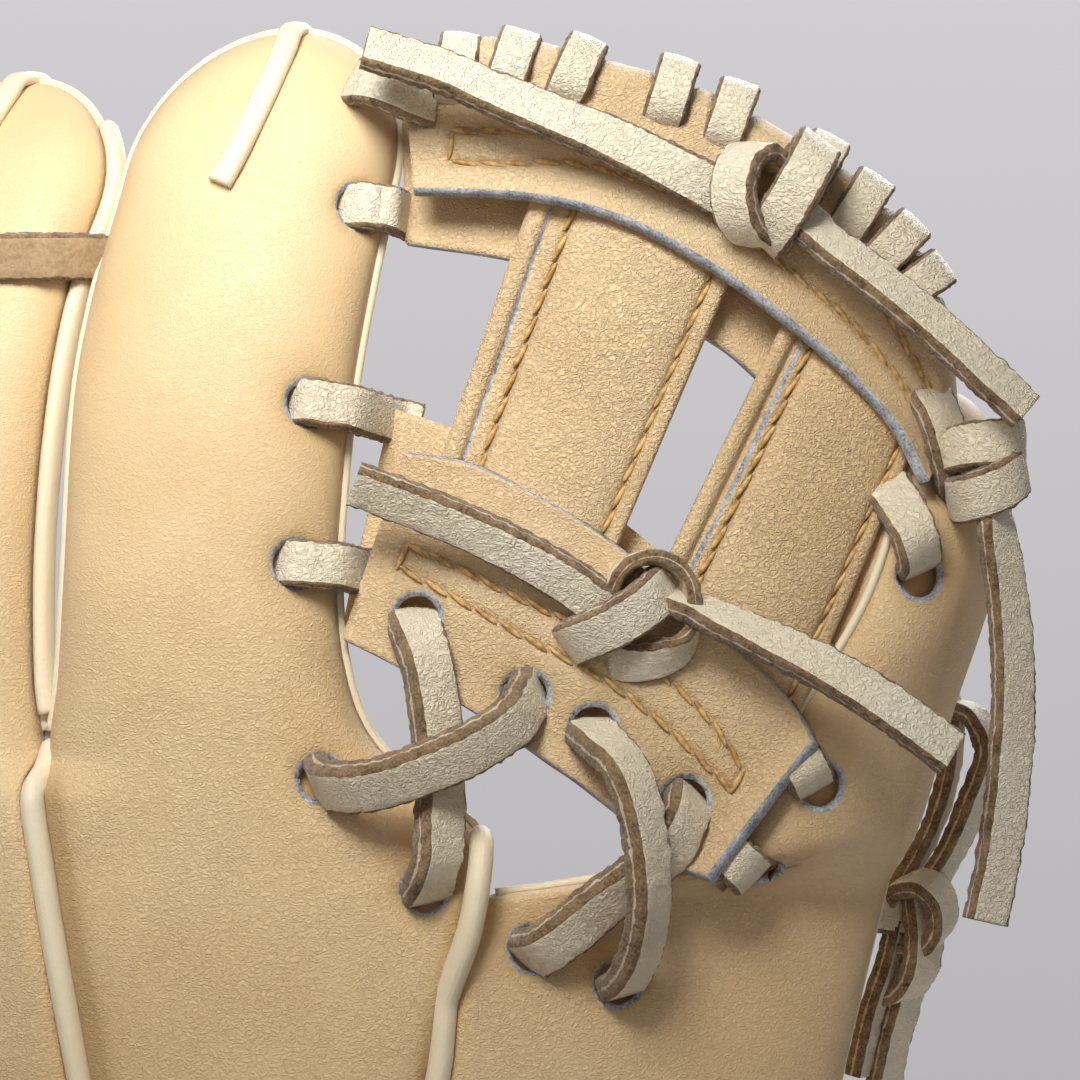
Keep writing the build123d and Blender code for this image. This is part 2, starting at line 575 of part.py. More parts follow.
def top_edge_laces():
    """Writes the lace that is whipped over the top edge of the web."""
    loops = {"index": [], "thumb": []}
    side = POST_T / 2 + CLEAR + POST_BOW + BAR_T
    for x, z, turn in TOP_LOOPS:
        up = Vector(-math.sin(math.radians(turn)), 0, math.cos(math.radians(turn)))
        edge = Vector(x, web_y(x, z), z)
        points = [edge + Vector(0, y, 0) + up * h for y, h in (
            (-side - 1.5, -8), (-side - 1.7, -2), (-side + 0.4, 2.4), (0, 3.6), (side - 0.4, 2.4),
            (side + 1.7, -2), (side + 1.5, -8))]
        across = Vector(up.Z, 0, -up.X)
        owner = "index" if x < fold_x(z) else "thumb"
        loops[owner].append(ribbon(points, across, LOOP_W, LOOP_T))
    for owner, made in loops.items():
        write(f"top_edge_lace_{owner}", made)


def knots():
    """Writes the two square knots of the web and their tails."""
    write("upper_knot", ribbon(UPPER_WRAP, LEVEL).fuse(ribbon(UPPER_BAND, (0.86, 0, -0.5))))
    write("upper_left_tail", lace(UPPER_TAIL_LEFT))
    write("upper_right_tail", lace(UPPER_TAIL_RIGHT))
    write("lower_knot", ribbon(LOWER_WRAP, LEVEL).fuse(ribbon(LOWER_BAND, (0.6, 0, 0.8))))
    write("lower_left_tail", lace(LOWER_TAIL_LEFT))
    write("lower_right_tail", lace(LOWER_TAIL_RIGHT))


def place(name, s, z, height):
    """Point a height outside a digit's back, s being -1 at its left edge and 1 at its right."""
    sec = section(name, z)
    p = surface(sec, s, 1)
    run = (surface(sec, s + 0.04, 1) - surface(sec, s - 0.04, 1)).normalized()
    return p + Vector(run.Y, -run.X, 0) * height


def thumb_laces():
    """Writes the knot at the thumb's tip and the lace behind its outer edge."""
    bands = []
    for z, lift in ((181.5, 2.0), (189.5, 2.3)):
        profile = ((-0.72, -2.4), (-0.62, lift), (-0.35, lift + 0.6), (-0.05, lift), (0.04, -2.4))
        points = [place("thumb", s, z, height) for s, height in profile]
        bands.append(ribbon(points, UPRIGHT))
    write("thumb_knot", bands[0].fuse(bands[1], ribbon(THUMB_TAIL, LEVEL)))
    ends = [ribbon(route, (1, 0, -0.2)) for route in THUMB_EDGE_ENDS]
    write("thumb_edge_lace", ribbon(THUMB_EDGE_KNOT, UPRIGHT).fuse(*ends))


def finger_laces():
    """Writes the laces that tie the middle, ring and pinky fingers together."""
    profile = [(0.93, -3.4), (0.88, 1.9), (0.6, 2.1), (0.3, 2.1), (0, 2.1), (-0.3, 2.1), (-0.6, 2.1),
               (-0.88, 1.9), (-0.93, -3.4)]
    made = []
    for name, (z, slope) in FINGER_LACES.items():
        made.append(lace([place(name, s, z + slope * s, height) for s, height in profile]))
    write("finger_lace", made)


def hand_loops():
    """Writes the loops inside that hold the little finger and the thumb."""
    for n, s, z in (("pinky", 0.5, 96), ("thumb", -0.45, 92)):
        sec = section(n, z, (0.0, 0.0), (5.5, 7.8, 9.2))
        near, far = surface(sec, s, 1), surface(sec, s, -1)
        chord = Vector(-sec["out"].Y, sec["out"].X, 0) * math.copysign(1.0, s)
        bow = chord * 1.6
        points = [near, near + (far - near) * 0.3 + bow, near + (far - near) * 0.7 + bow, far]
        write(f"{n}_loop", ribbon(points, (0, 0, 1), 16.0, 1.6))


# ---------------------------------------------------------------- the wrist
def digit_at(x, z):
    """The digit whose part of the hand compartment holds x at height z."""
    for n in DIGITS:
        if x < along(DIGITS[n]["right"], z)[0]:
            return n
    return "thumb"


def strap():
    """Writes the two halves of the wrist strap and the fleece behind it."""
    for name, line in (("wrist_strap", STRAP), ("wrist_strap_end", STRAP_END)):
        write(name, ribbon([(x, y, STRAP_Z) for x, y in line], UPRIGHT, STRAP_W, STRAP_T))
    inside = [(x, y + 3.5, STRAP_Z) for x, y in STRAP[4:-1]]
    write("strap_fleece", ribbon(inside, UPRIGHT, FLEECE_W, STRAP_T))


def opening_bindings():
    """Writes the binding around the hand opening, in two runs that meet at the fold."""
    count = 24
    middle_x, middle_z = OPENING_MIDDLE
    for name, low, high in (("opening_binding_finger_side", 172, 66),
                            ("opening_binding_thumb_side", 58, 12)):
        points, across = [], []
        for k in range(count + 1):
            a = math.radians(low + (high - low) * k / count)
            x = middle_x + (OPENING_R + 1) * math.cos(a)
            z = middle_z + (OPENING_R + 1) * math.sin(a)
            on, out = on_surface(digit_at(x, z), x, z)
            points.append(on + out * 1.3)
            across.append(Vector(math.cos(a), 0, math.sin(a)))
        write(name, ribbon(points, across, 6.0, 1.4))


def heel_laces():
    """Writes the lace along the heel, in two runs that meet at the fold."""
    for name, places in (("heel_lace_finger_side", (-66, -48, -30, -12, 0)),
                         ("heel_lace_thumb_side", (16, 34, 52, 66))):
        points = []
        for x in places:
            on, out = on_surface(digit_at(x, HEEL_LACE_Z), x, HEEL_LACE_Z, -1)
            points.append(on + out * 2.6)
        write(name, ribbon(points, UPRIGHT))


# ---------------------------------------------------------------- the whole glove
shells(cavity((SHELL_T, SHELL_T, SHELL_T), 1.5))
linings()
felt_pads()
stays()
seam_welts()
side_welts()
tip_welts()
web()
web_laces()
top_edge_laces()
knots()
thumb_laces()
finger_laces()
hand_loops()
strap()
opening_bindings()
heel_laces()
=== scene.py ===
"""Dresses a tan leather infield baseball glove for a right-handed thrower.

The glove stands upright on its heel, its back to the camera. Lengths in the classes are
millimetres in the glove's pattern, whose own zero lies at the heel between the fingers, and
Pattern.world turns a place in the pattern into the frame's metres.
"""
from __future__ import annotations

import logging
import math
from collections.abc import Callable, Iterable, Sequence
from dataclasses import dataclass, field
from enum import Enum
from functools import lru_cache

import bmesh
import bpy
from mathutils import Matrix, Vector, noise


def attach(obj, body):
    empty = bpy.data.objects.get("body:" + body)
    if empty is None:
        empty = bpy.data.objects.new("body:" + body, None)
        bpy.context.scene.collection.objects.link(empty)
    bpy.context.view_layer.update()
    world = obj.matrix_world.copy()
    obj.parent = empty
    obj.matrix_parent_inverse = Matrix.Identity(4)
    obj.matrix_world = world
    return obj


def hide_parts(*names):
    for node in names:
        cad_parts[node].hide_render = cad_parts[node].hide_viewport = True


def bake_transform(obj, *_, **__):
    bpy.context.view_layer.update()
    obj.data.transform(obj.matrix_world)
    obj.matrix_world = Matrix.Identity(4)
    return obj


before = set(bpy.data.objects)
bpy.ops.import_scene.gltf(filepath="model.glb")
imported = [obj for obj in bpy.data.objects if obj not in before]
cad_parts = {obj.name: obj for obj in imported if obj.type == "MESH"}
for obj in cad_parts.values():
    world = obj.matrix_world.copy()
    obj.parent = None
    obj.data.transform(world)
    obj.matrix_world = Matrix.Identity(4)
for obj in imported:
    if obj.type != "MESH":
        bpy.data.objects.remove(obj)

MM = 0.001
FINGER_SIDE = "finger_side"
THUMB_SIDE = "thumb_side"
BACKWARDS = Vector((0, -1, 0))
PALMWARDS = Vector((0, 1, 0))
UPWARDS = Vector((0, 0, 1))
THUMBWARDS = Vector((1, 0, 0))
Triple = tuple[float, float, float]
Line = tuple[Triple, ...]
Edge = tuple[tuple[float, float], ...]
Mesh = bmesh.types.BMesh
Material = bpy.types.Material
Node = bpy.types.Node
Object = bpy.types.Object
Output = tuple[Node, str | int]

log = logging.getLogger("glove")


class Face(Enum):
    """The two faces of a digit."""

    BACK = 1
    PALM = -1


class Digit(Enum):
    """The five compartments, from the little finger to the thumb."""

    PINKY = "pinky"
    RING = "ring"
    MIDDLE = "middle"
    INDEX = "index"
    THUMB = "thumb"


# ---- the form


def smooth_step(value: float) -> float:
    """Eases a value from 0 to 1, held at both ends."""
    t = min(max(value, 0.0), 1.0)
    return t * t * (3 - 2 * t)


def bell(distance: float, reach: float) -> float:
    """Returns a rounded rise, 1 at no distance and almost 0 at twice its reach."""
    return math.exp(-(distance / reach) ** 2)


def cubic_along(line: Line, z: float) -> tuple[float, float]:
    """Reads a line of (z, x, y) points at a height.

    Args:
        line: the points, from the lowest to the highest.
        z: the height.

    Returns:
        x and y there.
    """
    z = min(max(z, line[0][0]), line[-1][0])
    i = max(k for k in range(len(line) - 1) if line[k][0] <= z)
    p1, p2 = line[i], line[i + 1]
    p0 = line[i - 1] if i else p1
    p3 = line[i + 2] if i + 2 < len(line) else p2
    h = p2[0] - p1[0]
    t = (z - p1[0]) / h
    found = []
    for c in (1, 2):
        m1 = (p2[c] - p0[c]) / (p2[0] - p0[0])
        m2 = (p3[c] - p1[c]) / (p3[0] - p1[0])
        found.append((2 * t**3 - 3 * t**2 + 1) * p1[c] + (t**3 - 2 * t**2 + t) * h * m1
                     + (3 * t**2 - 2 * t**3) * p2[c] + (t**3 - t**2) * h * m2)
    return found[0], found[1]


@dataclass(frozen=True)
class DigitPattern:
    """One digit's outline on the glove's middle surface."""

    left: Line
    right: Line
    tip: float
    left_crotch: float | None
    right_crotch: float | None


@dataclass(frozen=True)
class Section:
    """A level cut through a digit."""

    left: Vector
    right: Vector
    out: Vector
    back: float
    palm: float
    joined_left: float
    joined_right: float
    dome: float

    @property
    def half_width(self) -> float:
        """Half the distance between the edges."""
        return (self.right - self.left).length / 2

    @property
    def chord(self) -> Vector:
        """The level direction from the left edge to the right one."""
        return Vector((-self.out.y, self.out.x, 0))


PINKY_EDGE: Line = ((0, -76, 52), (40, -91, 62), (81, -106, 76), (124, -121, 91))
PINKY_RING: Line = ((0, -60, 35), (40, -73, 40), (81, -88, 49), (124, -104, 60))
RING_MIDDLE: Line = ((0, -41, 24), (40, -51, 24), (81, -64, 28), (124, -79, 34))
MIDDLE_INDEX: Line = ((0, -19, 16), (40, -27, 14), (81, -36, 14), (124, -44, 14.5))
INDEX_THUMB: Line = ((0, 6, 14), (40, 13, 10), (81, 21.5, 8), (112, 29, 6.5))
THUMB_EDGE: Line = ((0, 74, 30), (40, 85, 30), (81, 94, 32), (122, 104, 36))

DIGITS: dict[Digit, DigitPattern] = {
    Digit.PINKY: DigitPattern(
        PINKY_EDGE + ((165, -129, 106), (226, -128, 121)),
        PINKY_RING + ((132, -107, 66), (165, -111, 75), (226, -111, 91)), 224, None, 128),
    Digit.RING: DigitPattern(
        PINKY_RING + ((132, -105.5, 63), (170, -109.5, 72), (247, -104, 88)),
        RING_MIDDLE + ((138, -83, 39), (170, -85.5, 43), (200, -86, 48), (247, -79, 60)), 246, 128, 134),
    Digit.MIDDLE: DigitPattern(
        RING_MIDDLE + ((138, -81, 36), (170, -83, 39), (200, -82.5, 43), (257, -73, 58)),
        MIDDLE_INDEX + ((139, -46, 16.5), (150, -47.5, 17), (175, -47.5, 18), (200, -45.3, 20),
                        (218, -42, 24), (236, -36, 29), (257, -31, 37)), 257, 134, 138),
    Digit.INDEX: DigitPattern(
        MIDDLE_INDEX + ((139, -45, 15), (150, -43.6, 14), (168, -42.5, 13.5), (200, -40.8, 17),
                        (218, -37.8, 21), (236, -33.2, 26), (266, -26, 36)),
        INDEX_THUMB + ((124, 29.5, 6), (131, 20.5, 6.5), (140, 11.5, 7), (150, 7.3, 7), (165, 5.4, 7),
                       (185, 6.4, 8), (200, 8, 9.5), (218, 11, 13), (236, 14.6, 18), (266, 20, 27)),
        264.5, 138, 120),
    Digit.THUMB: DigitPattern(
        INDEX_THUMB + ((115, 47, 5.5), (119, 66, 4.5), (124, 74.5, 4), (140, 82.5, 3.5), (162, 96, 5),
                       (178, 102, 8), (202, 108, 15)),
        THUMB_EDGE + ((147, 110, 40), (171, 115.5, 44), (202, 117, 50)), 201, 110, None),
}


@dataclass(frozen=True)
class Inset:
    """How far a layer lies inside the shell at its free edges, back, palm and tips."""

    edge: float = 0.0
    back: float = 0.0
    palm: float = 0.0
    tip: float = 0.0


NO_INSET = Inset()


class Pattern:
    """The glove's form: the digits' surfaces and the web's middle surface."""

    ORIGIN = Vector((-6.13, 50.75, 0))
    BACK_CREST = 13.0
    PALM_CREST = 12.0
    HAND_BACK = 4.0
    HAND_PALM = 8.0
    DOME = 25.0
    CROTCH_BLEND = 9.0
    BACK_RIM = 0.74
    PALM_RIM = 0.97
    THIN_RIM = 0.04
    FULLNESS = 2.4
    FOLD_POINT = Vector((33, 20.5, 124))
    FOLD_AXIS = Vector((0.3938, -0.0778, 0.9158))

    @classmethod
    def world(cls, place: Vector) -> Vector:
        """Turns a place in the pattern into metres in the frame."""
        return (place - cls.ORIGIN) * MM

    @classmethod
    def of(cls, spot: Vector) -> Vector:
        """Turns metres in the frame into a place in the pattern."""
        return spot / MM + cls.ORIGIN

    @classmethod
    def fold_x(cls, z: float) -> float:
        """Returns where the fold line passes at a height."""
        return cls.FOLD_POINT.x + (z - cls.FOLD_POINT.z) * cls.FOLD_AXIS.x / cls.FOLD_AXIS.z

    @staticmethod
    def web_y(x: float, z: float) -> float:
        """Returns the depth of the web's middle surface."""
        return 2 + 0.0032 * (x - 58) ** 2 + 0.10 * max(0.0, z - 165)

    @classmethod
    def _joined(cls, crotch: float | None, z: float) -> float:
        """Returns 1 where two digits are one compartment and 0 where they are apart."""
        return 0.0 if crotch is None else smooth_step((crotch - z) / cls.CROTCH_BLEND)

    @staticmethod
    @lru_cache(maxsize=None)
    def section(digit: Digit, z: float, inset: Inset = NO_INSET) -> Section:
        """Cuts a digit level.

        Args:
            digit: the digit.
            z: the height of the cut.
            inset: how far inside the shell the cut lies.

        Returns:
            The cut's edges and depths.
        """
        form = DIGITS[digit]
        left = Vector((*cubic_along(form.left, z), z))
        right = Vector((*cubic_along(form.right, z), z))
        chord = (right - left).normalized()
        joined = [Pattern._joined(crotch, z) for crotch in (form.left_crotch, form.right_crotch)]
        left += chord * inset.edge * (1 - joined[0])
        right -= chord * inset.edge * (1 - joined[1])
        t = max(0.0, (z - (form.tip - inset.tip - Pattern.DOME)) / Pattern.DOME)
        dome = math.sqrt(max(0.0, 1 - t * t))
        low = min(max((118 - z) / 60, 0), 1)
        heel = min(1.0, 0.62 + z / 75)
        middle, half = (left + right) / 2, (right - left) * dome / 2
        back = (Pattern.BACK_CREST + Pattern.HAND_BACK * low) * heel - inset.back
        palm = (Pattern.PALM_CREST + Pattern.HAND_PALM * low) * heel - inset.palm
        return Section(middle - half, middle + half, Vector((chord.y, -chord.x, 0)),
                       max(back, 0.5) * dome, max(palm, 0.5) * dome, joined[0], joined[1], dome)

    @classmethod
    def _out(cls, digit: Digit, cut: Section, s: float, z: float) -> Vector:
        """Returns the outward direction, shared between neighbours towards a seam.

        Args:
            digit: the digit.
            cut: its level cut.
            s: the way across.
            z: the height.

        Returns:
            The direction, level.
        """
        order = list(Digit)
        step = 1 if s > 0 else -1
        joined = cut.joined_right if s > 0 else cut.joined_left
        if joined <= 0.0:
            return cut.out
        other = cls.section(order[order.index(digit) + step], z).out
        share = joined * smooth_step((abs(s) - 0.25) / 0.75)
        return cut.out.lerp((cut.out + other).normalized(), share).normalized()

    @classmethod
    def place(cls, digit: Digit, s: float, z: float, face: Face = Face.BACK, lift: float = 0.0,
              inset: Inset = NO_INSET) -> Vector:
        """Finds a point on a digit.

        Args:
            digit: the digit.
            s: the way across, from -1 at its left edge to 1 at its right edge.
            z: the height.
            face: the back or the palm face.
            lift: how far outside the surface the point lies.
            inset: how far inside the shell the surface lies.

        Returns:
            The point, in the pattern.
        """
        cut = cls.section(digit, z, inset)
        crest, share = (cut.back, cls.BACK_RIM) if face is Face.BACK else (cut.palm, cls.PALM_RIM)
        rims = [max(cls.THIN_RIM, share * k) * crest for k in (cut.joined_left, cut.joined_right)]
        rim = rims[0] + (rims[1] - rims[0]) * (s + 1) / 2
        depth = rim + (crest - rim) * math.sqrt(max(0.0, 1 - abs(s) ** cls.FULLNESS))
        base = cut.left.lerp(cut.right, (s + 1) / 2)
        return base + cls._out(digit, cut, s, z) * (face.value * (depth + lift))

    @classmethod
    def normal(cls, digit: Digit, s: float, z: float, face: Face = Face.BACK) -> Vector:
        """Returns the outward normal of a digit's surface.

        Args:
            digit: the digit.
            s: the way across.
            z: the height.
            face: the back or the palm face.

        Returns:
            The normal.
        """
        step = 0.03
        a, b = (cls.place(digit, min(max(s + d, -0.995), 0.995), z, face) for d in (-step, step))
        c, d = (cls.place(digit, s, z + dz, face) for dz in (-1, 1))
        return ((b - a).cross(d - c) * face.value).normalized()

    @classmethod
    def across(cls, digit: Digit, x: float, z: float, face: Face = Face.BACK) -> float:
        """Finds where a digit's surface has a given x.

        Args:
            digit: the digit.
            x: the place to find.
            z: the height.
            face: the back or the palm face.

        Returns:
            The way across, from -1 to 1.
        """
        low, high = -1.0, 1.0
        for _ in range(30):
            mid = (low + high) / 2
            low, high = (mid, high) if cls.place(digit, mid, z, face).x < x else (low, mid)
        return low

    @classmethod
    def at(cls, digit: Digit, x: float, z: float, lift: float = 0.0) -> Vector:
        """Finds the point of a digit's back at an x and z, raised along its normal."""
        s = cls.across(digit, x, z)
        return cls.place(digit, s, z) + cls.normal(digit, s, z) * lift


# ---- finishes


class Nodes:
    """A short way to write one material's node tree."""

    def __init__(self, name: str) -> None:
        """Starts an empty material.

        Args:
            name: the material's name.
        """
        self.material = bpy.data.materials.new(name)
        self.material.use_nodes = True
        self.tree = self.material.node_tree
        self.tree.nodes.clear()
        self.output = self.add("ShaderNodeOutputMaterial")
        self.shader = self.add("ShaderNodeBsdfPrincipled")
        self.link(self.shader, "BSDF", self.output, "Surface")
        self.place = self.add("ShaderNodeTexCoord")

    @staticmethod
    def fill(node: Node, values: dict[str, object]) -> Node:
        """Sets a node's inputs by name."""
        for name, value in values.items():
            node.inputs[name].default_value = value
        return node

    def add(self, kind: str, values: dict[str, object] | None = None, **settings: object) -> Node:
        """Adds a node and sets its properties and inputs.

        Args:
            kind: the node's type.
            values: its inputs, by name.
            settings: its properties.

        Returns:
            The node.
        """
        node = self.tree.nodes.new(kind)
        for key, value in settings.items():
            setattr(node, key, value)
        return self.fill(node, values or {})

    def link(self, source: Node, out: str | int, target: Node, into: str | int) -> None:
        """Joins an output to an input."""
        self.tree.links.new(source.outputs[out], target.inputs[into])

    def noise(self, scale: float, detail: float = 3.0, roughness: float = 0.55,
              stretch: Triple = (1, 1, 1)) -> Node:
        """Adds a noise over the object's own coordinates.

        Args:
            scale: bumps to the metre.
            detail: how many finer layers it has.
            roughness: how strong they are.
            stretch: the scale along each axis.

        Returns:
            The noise node.
        """
        mapping = self.add("ShaderNodeMapping", {"Scale": stretch})
        self.link(self.place, "Object", mapping, "Vector")
        node = self.add("ShaderNodeTexNoise", {"Scale": scale, "Detail": detail, "Roughness": roughness})
        self.link(mapping, "Vector", node, "Vector")
        return node

    def ramp(self, source: Node, out: str | int,
             stops: Sequence[tuple[float, Triple]]) -> Node:
        """Adds a colour ramp after an output.

        Args:
            source: the node that it reads.
            out: that node's output.
            stops: each colour and where it lies.

        Returns:
            The ramp.
        """
        node = self.add("ShaderNodeValToRGB")
        ends = node.color_ramp.elements
        while len(ends) < len(stops):
            ends.new(0.5)
        for element, (place, colour) in zip(ends, stops):
            element.position = place
            element.color = (*colour, 1.0)
        self.link(source, out, node, "Fac")
        return node

    def mix(self, first: Node, second: Node, amount: Output) -> Node:
        """Mixes two colours by an amount read from an output.

        Args:
            first: the node of the colour at 0.
            second: the node of the colour at 1.
            amount: the output that mixes them.

        Returns:
            The mix.
        """
        node = self.add("ShaderNodeMix", data_type="RGBA")
        for source, socket in ((first, 6), (second, 7)):
            self.link(source, "Color" if "Color" in source.outputs else 2, node, socket)
        self.link(*amount, node, 0)
        return node

    def math(self, operation: str, first: object, second: object = 0.0, clamp: bool = False) -> Node:
        """Adds a sum over outputs or plain numbers.

        Args:
            operation: the sum.
            first: its first number or output.
            second: its second one.
            clamp: whether the result stays within 0 and 1.

        Returns:
            The node.
        """
        node = self.add("ShaderNodeMath", operation=operation, use_clamp=clamp)
        for socket, value in zip(node.inputs, (first, second)):
            if isinstance(value, tuple):
                self.tree.links.new(value[0].outputs[value[1]], socket)
            else:
                socket.default_value = value
        return node

    def bump(self, height: Output, distance: float, under: Node | None = None) -> Node:
        """Adds a bump, over another one if it is given.

        Args:
            height: the output that it raises.
            distance: its height in metres.
            under: the bump that it lies on.

        Returns:
            The bump.
        """
        node = self.add("ShaderNodeBump", {"Distance": distance, "Strength": 1.0})
        self.link(*height, node, "Height")
        if under is not None:
            self.link(under, "Normal", node, "Normal")
        return node


def linear(hex_colour: str) -> Triple:
    """Turns a written colour such as E8C99A into the shader's linear values."""
    parts = [int(hex_colour[i:i + 2], 16) / 255 for i in (0, 2, 4)]
    red, green, blue = (c / 12.92 if c <= 0.04045 else ((c + 0.055) / 1.055) ** 2.4 for c in parts)
    return red, green, blue


@dataclass(frozen=True)
class Leather:
    """A grained leather: colour that drifts a little, cells of pebble, pores and creases, with painted shade in the
    grain's gaps, in seams, at edges and round holes.
    """

    name: str
    light: str
    deep: str
    roughness: float = 0.48
    pebble: float = 0.10        # height of the pebble grain in millimetres
    cells: float = 900.0        # pebble cells to the metre
    crease: float = 0.12        # height of the broad creases in millimetres
    lumps: float = 110.0        # broad creases to the metre
    pores: float = 0.025        # depth of the pores in millimetres
    sheen: float = 0.15
    smooth_above: float | None = None    # height in metres where the grain grows finer

    def make(self) -> Material:
        """Builds the material."""
        n = Nodes(self.name)
        drift = n.noise(14.0, 4.0, 0.6)
        base = n.ramp(drift, "Fac", ((0.30, linear(self.deep)), (0.62, linear(self.light))))
        net = n.fill(n.noise(self.cells, 2.0, 0.45, (1.0, 1.0, 1.35)), {"Distortion": 0.7})
        gap = n.math("ABSOLUTE", (n.math("SUBTRACT", (net, "Fac"), 0.5), 0))
        grooves = n.math("MULTIPLY", (gap, 0), 6.0, clamp=True)
        patch = n.noise(60.0, 3.0, 0.6)
        uneven = n.math("MULTIPLY_ADD", (patch, "Fac"), 0.7)
        uneven.inputs[2].default_value = 0.5
        amount = uneven
        if self.smooth_above is not None:
            split = n.add("ShaderNodeSeparateXYZ")
            n.link(n.place, "Object", split, "Vector")
            fade = n.add("ShaderNodeMapRange", {
                "From Min": self.smooth_above - 0.055, "From Max": self.smooth_above + 0.045, "To Min": 1.0,
                "To Max": 0.28}, interpolation_type="SMOOTHSTEP")
            n.link(split, "Z", fade, "Value")
            amount = n.math("MULTIPLY", (uneven, 0), (fade, 0))
        grain = n.math("MULTIPLY", (grooves, 0), (amount, 0))
        creases = n.noise(self.lumps, 6.0, 0.62, (1.0, 1.0, 1.2))
        pores = n.noise(2600.0, 2.0, 0.5)
        broad = n.bump((creases, "Fac"), self.crease * MM)
        pebbled = n.bump((grain, 0), self.pebble * MM, broad)
        fine = n.bump((pores, "Fac"), self.pores * MM, pebbled)
        n.link(fine, "Normal", n.shader, "Normal")
        # painted shade: a darker copy of the deep colour is mixed in where the pebble grain's gaps lie
        dark = n.add("ShaderNodeRGB")
        dark.outputs[0].default_value = (*linear(self.deep), 1.0)
        grain_gap_shade = n.add("ShaderNodeHueSaturation", {"Value": 0.86})
        n.link(dark, "Color", grain_gap_shade, "Color")
        gaps = n.math("SUBTRACT", 1.0, (grain, 0), clamp=True)
        faint = n.math("MULTIPLY", (gaps, 0), 0.24)
        shaded = n.mix(base, grain_gap_shade, (faint, 0))
        # painted shade: where the attribute below is set, in seams, at edges, in stitch grooves and round lace holes,
        # the leather darkens towards a dark copy of its deep colour
        fold_shade = n.add("ShaderNodeAttribute", attribute_name="fold_shade", attribute_type="GEOMETRY")
        deep = n.add("ShaderNodeHueSaturation", {"Value": 0.60, "Saturation": 1.18})
        n.link(dark, "Color", deep, "Color")
        final = n.mix(shaded, deep, (fold_shade, "Fac"))
        n.link(final, 2, n.shader, "Base Color")
        rough = n.add("ShaderNodeMapRange", {"To Min": self.roughness - 0.07, "To Max": self.roughness + 0.12})
        n.link(patch, "Fac", rough, "Value")
        n.link(rough, "Result", n.shader, "Roughness")
        n.fill(n.shader, {"Specular IOR Level": 0.42, "Sheen Weight": self.sheen, "Sheen Roughness": 0.5})
        return n.material


@dataclass(frozen=True)
class Suede:
    """A cut or flesh side of leather: fibrous, matt and uneven."""

    name: str
    light: str
    deep: str
    fibre: float = 1300.0       # fibres to the metre
    height: float = 0.22        # height of the fibres in millimetres
    stretch: Triple = (1.0, 1.0, 1.0)
    core: str | None = None     # colour of the pale line along the middle of a lace's edge

    def make(self) -> Material:
        """Builds the material."""
        n = Nodes(self.name)
        tuft = n.noise(self.fibre, 5.0, 0.7, self.stretch)
        patch = n.noise(260.0, 4.0, 0.65)
        both = n.math("MULTIPLY_ADD", (tuft, "Fac"), 0.6)
        n.link(n.math("MULTIPLY", (patch, "Fac"), 0.4), 0, both, 2)
        colour = n.ramp(both, 0, ((0.36, linear(self.deep)), (0.62, linear(self.light))))
        n.link(colour, "Color", n.shader, "Base Color")
        if self.core is not None:
            near = n.add("ShaderNodeAttribute", attribute_name="core", attribute_type="GEOMETRY")
            torn = n.math("MULTIPLY_ADD", (n.noise(330, 4, 0.7), "Fac"), 1.1)
            n.link(near, "Fac", torn, 2)
            half = n.math("MULTIPLY", (torn, 0), 0.5)
            line = n.ramp(half, 0, ((0.66, (0, 0, 0)), (0.73, (1, 1, 1))))
            pale = n.ramp(both, 0, ((0.36, linear(self.light)), (0.60, linear(self.core))))
            mixed = n.mix(colour, pale, (line, "Color"))
            n.link(mixed, 2, n.shader, "Base Color")
        n.link(n.bump((both, 0), self.height * MM), "Normal", n.shader, "Normal")
        n.fill(n.shader, {"Roughness": 0.93, "Specular IOR Level": 0.2, "Sheen Weight": 0.3})
        return n.material


@dataclass(frozen=True)
class Thread:
    """A waxed, twisted sewing thread."""

    name: str
    light: str
    deep: str

    def make(self) -> Material:
        """Builds the material."""
        n = Nodes(self.name)
        ply = n.noise(700.0, 2.0, 0.5)
        colour = n.ramp(ply, "Fac", ((0.35, linear(self.deep)), (0.62, linear(self.light))))
        n.link(colour, "Color", n.shader, "Base Color")
        n.link(n.bump((ply, "Fac"), 0.08 * MM), "Normal", n.shader, "Normal")
        n.fill(n.shader, {"Roughness": 0.5, "Specular IOR Level": 0.45})
        return n.material


@dataclass(frozen=True)
class Plain:
    """A smooth, even surface for the floor."""

    name: str
    colour: str

    def make(self) -> Material:
        """Builds the material."""
        n = Nodes(self.name)
        n.fill(n.shader, {"Base Color": (*linear(self.colour), 1.0), "Roughness": 0.9, "Specular IOR Level": 0.1})
        return n.material


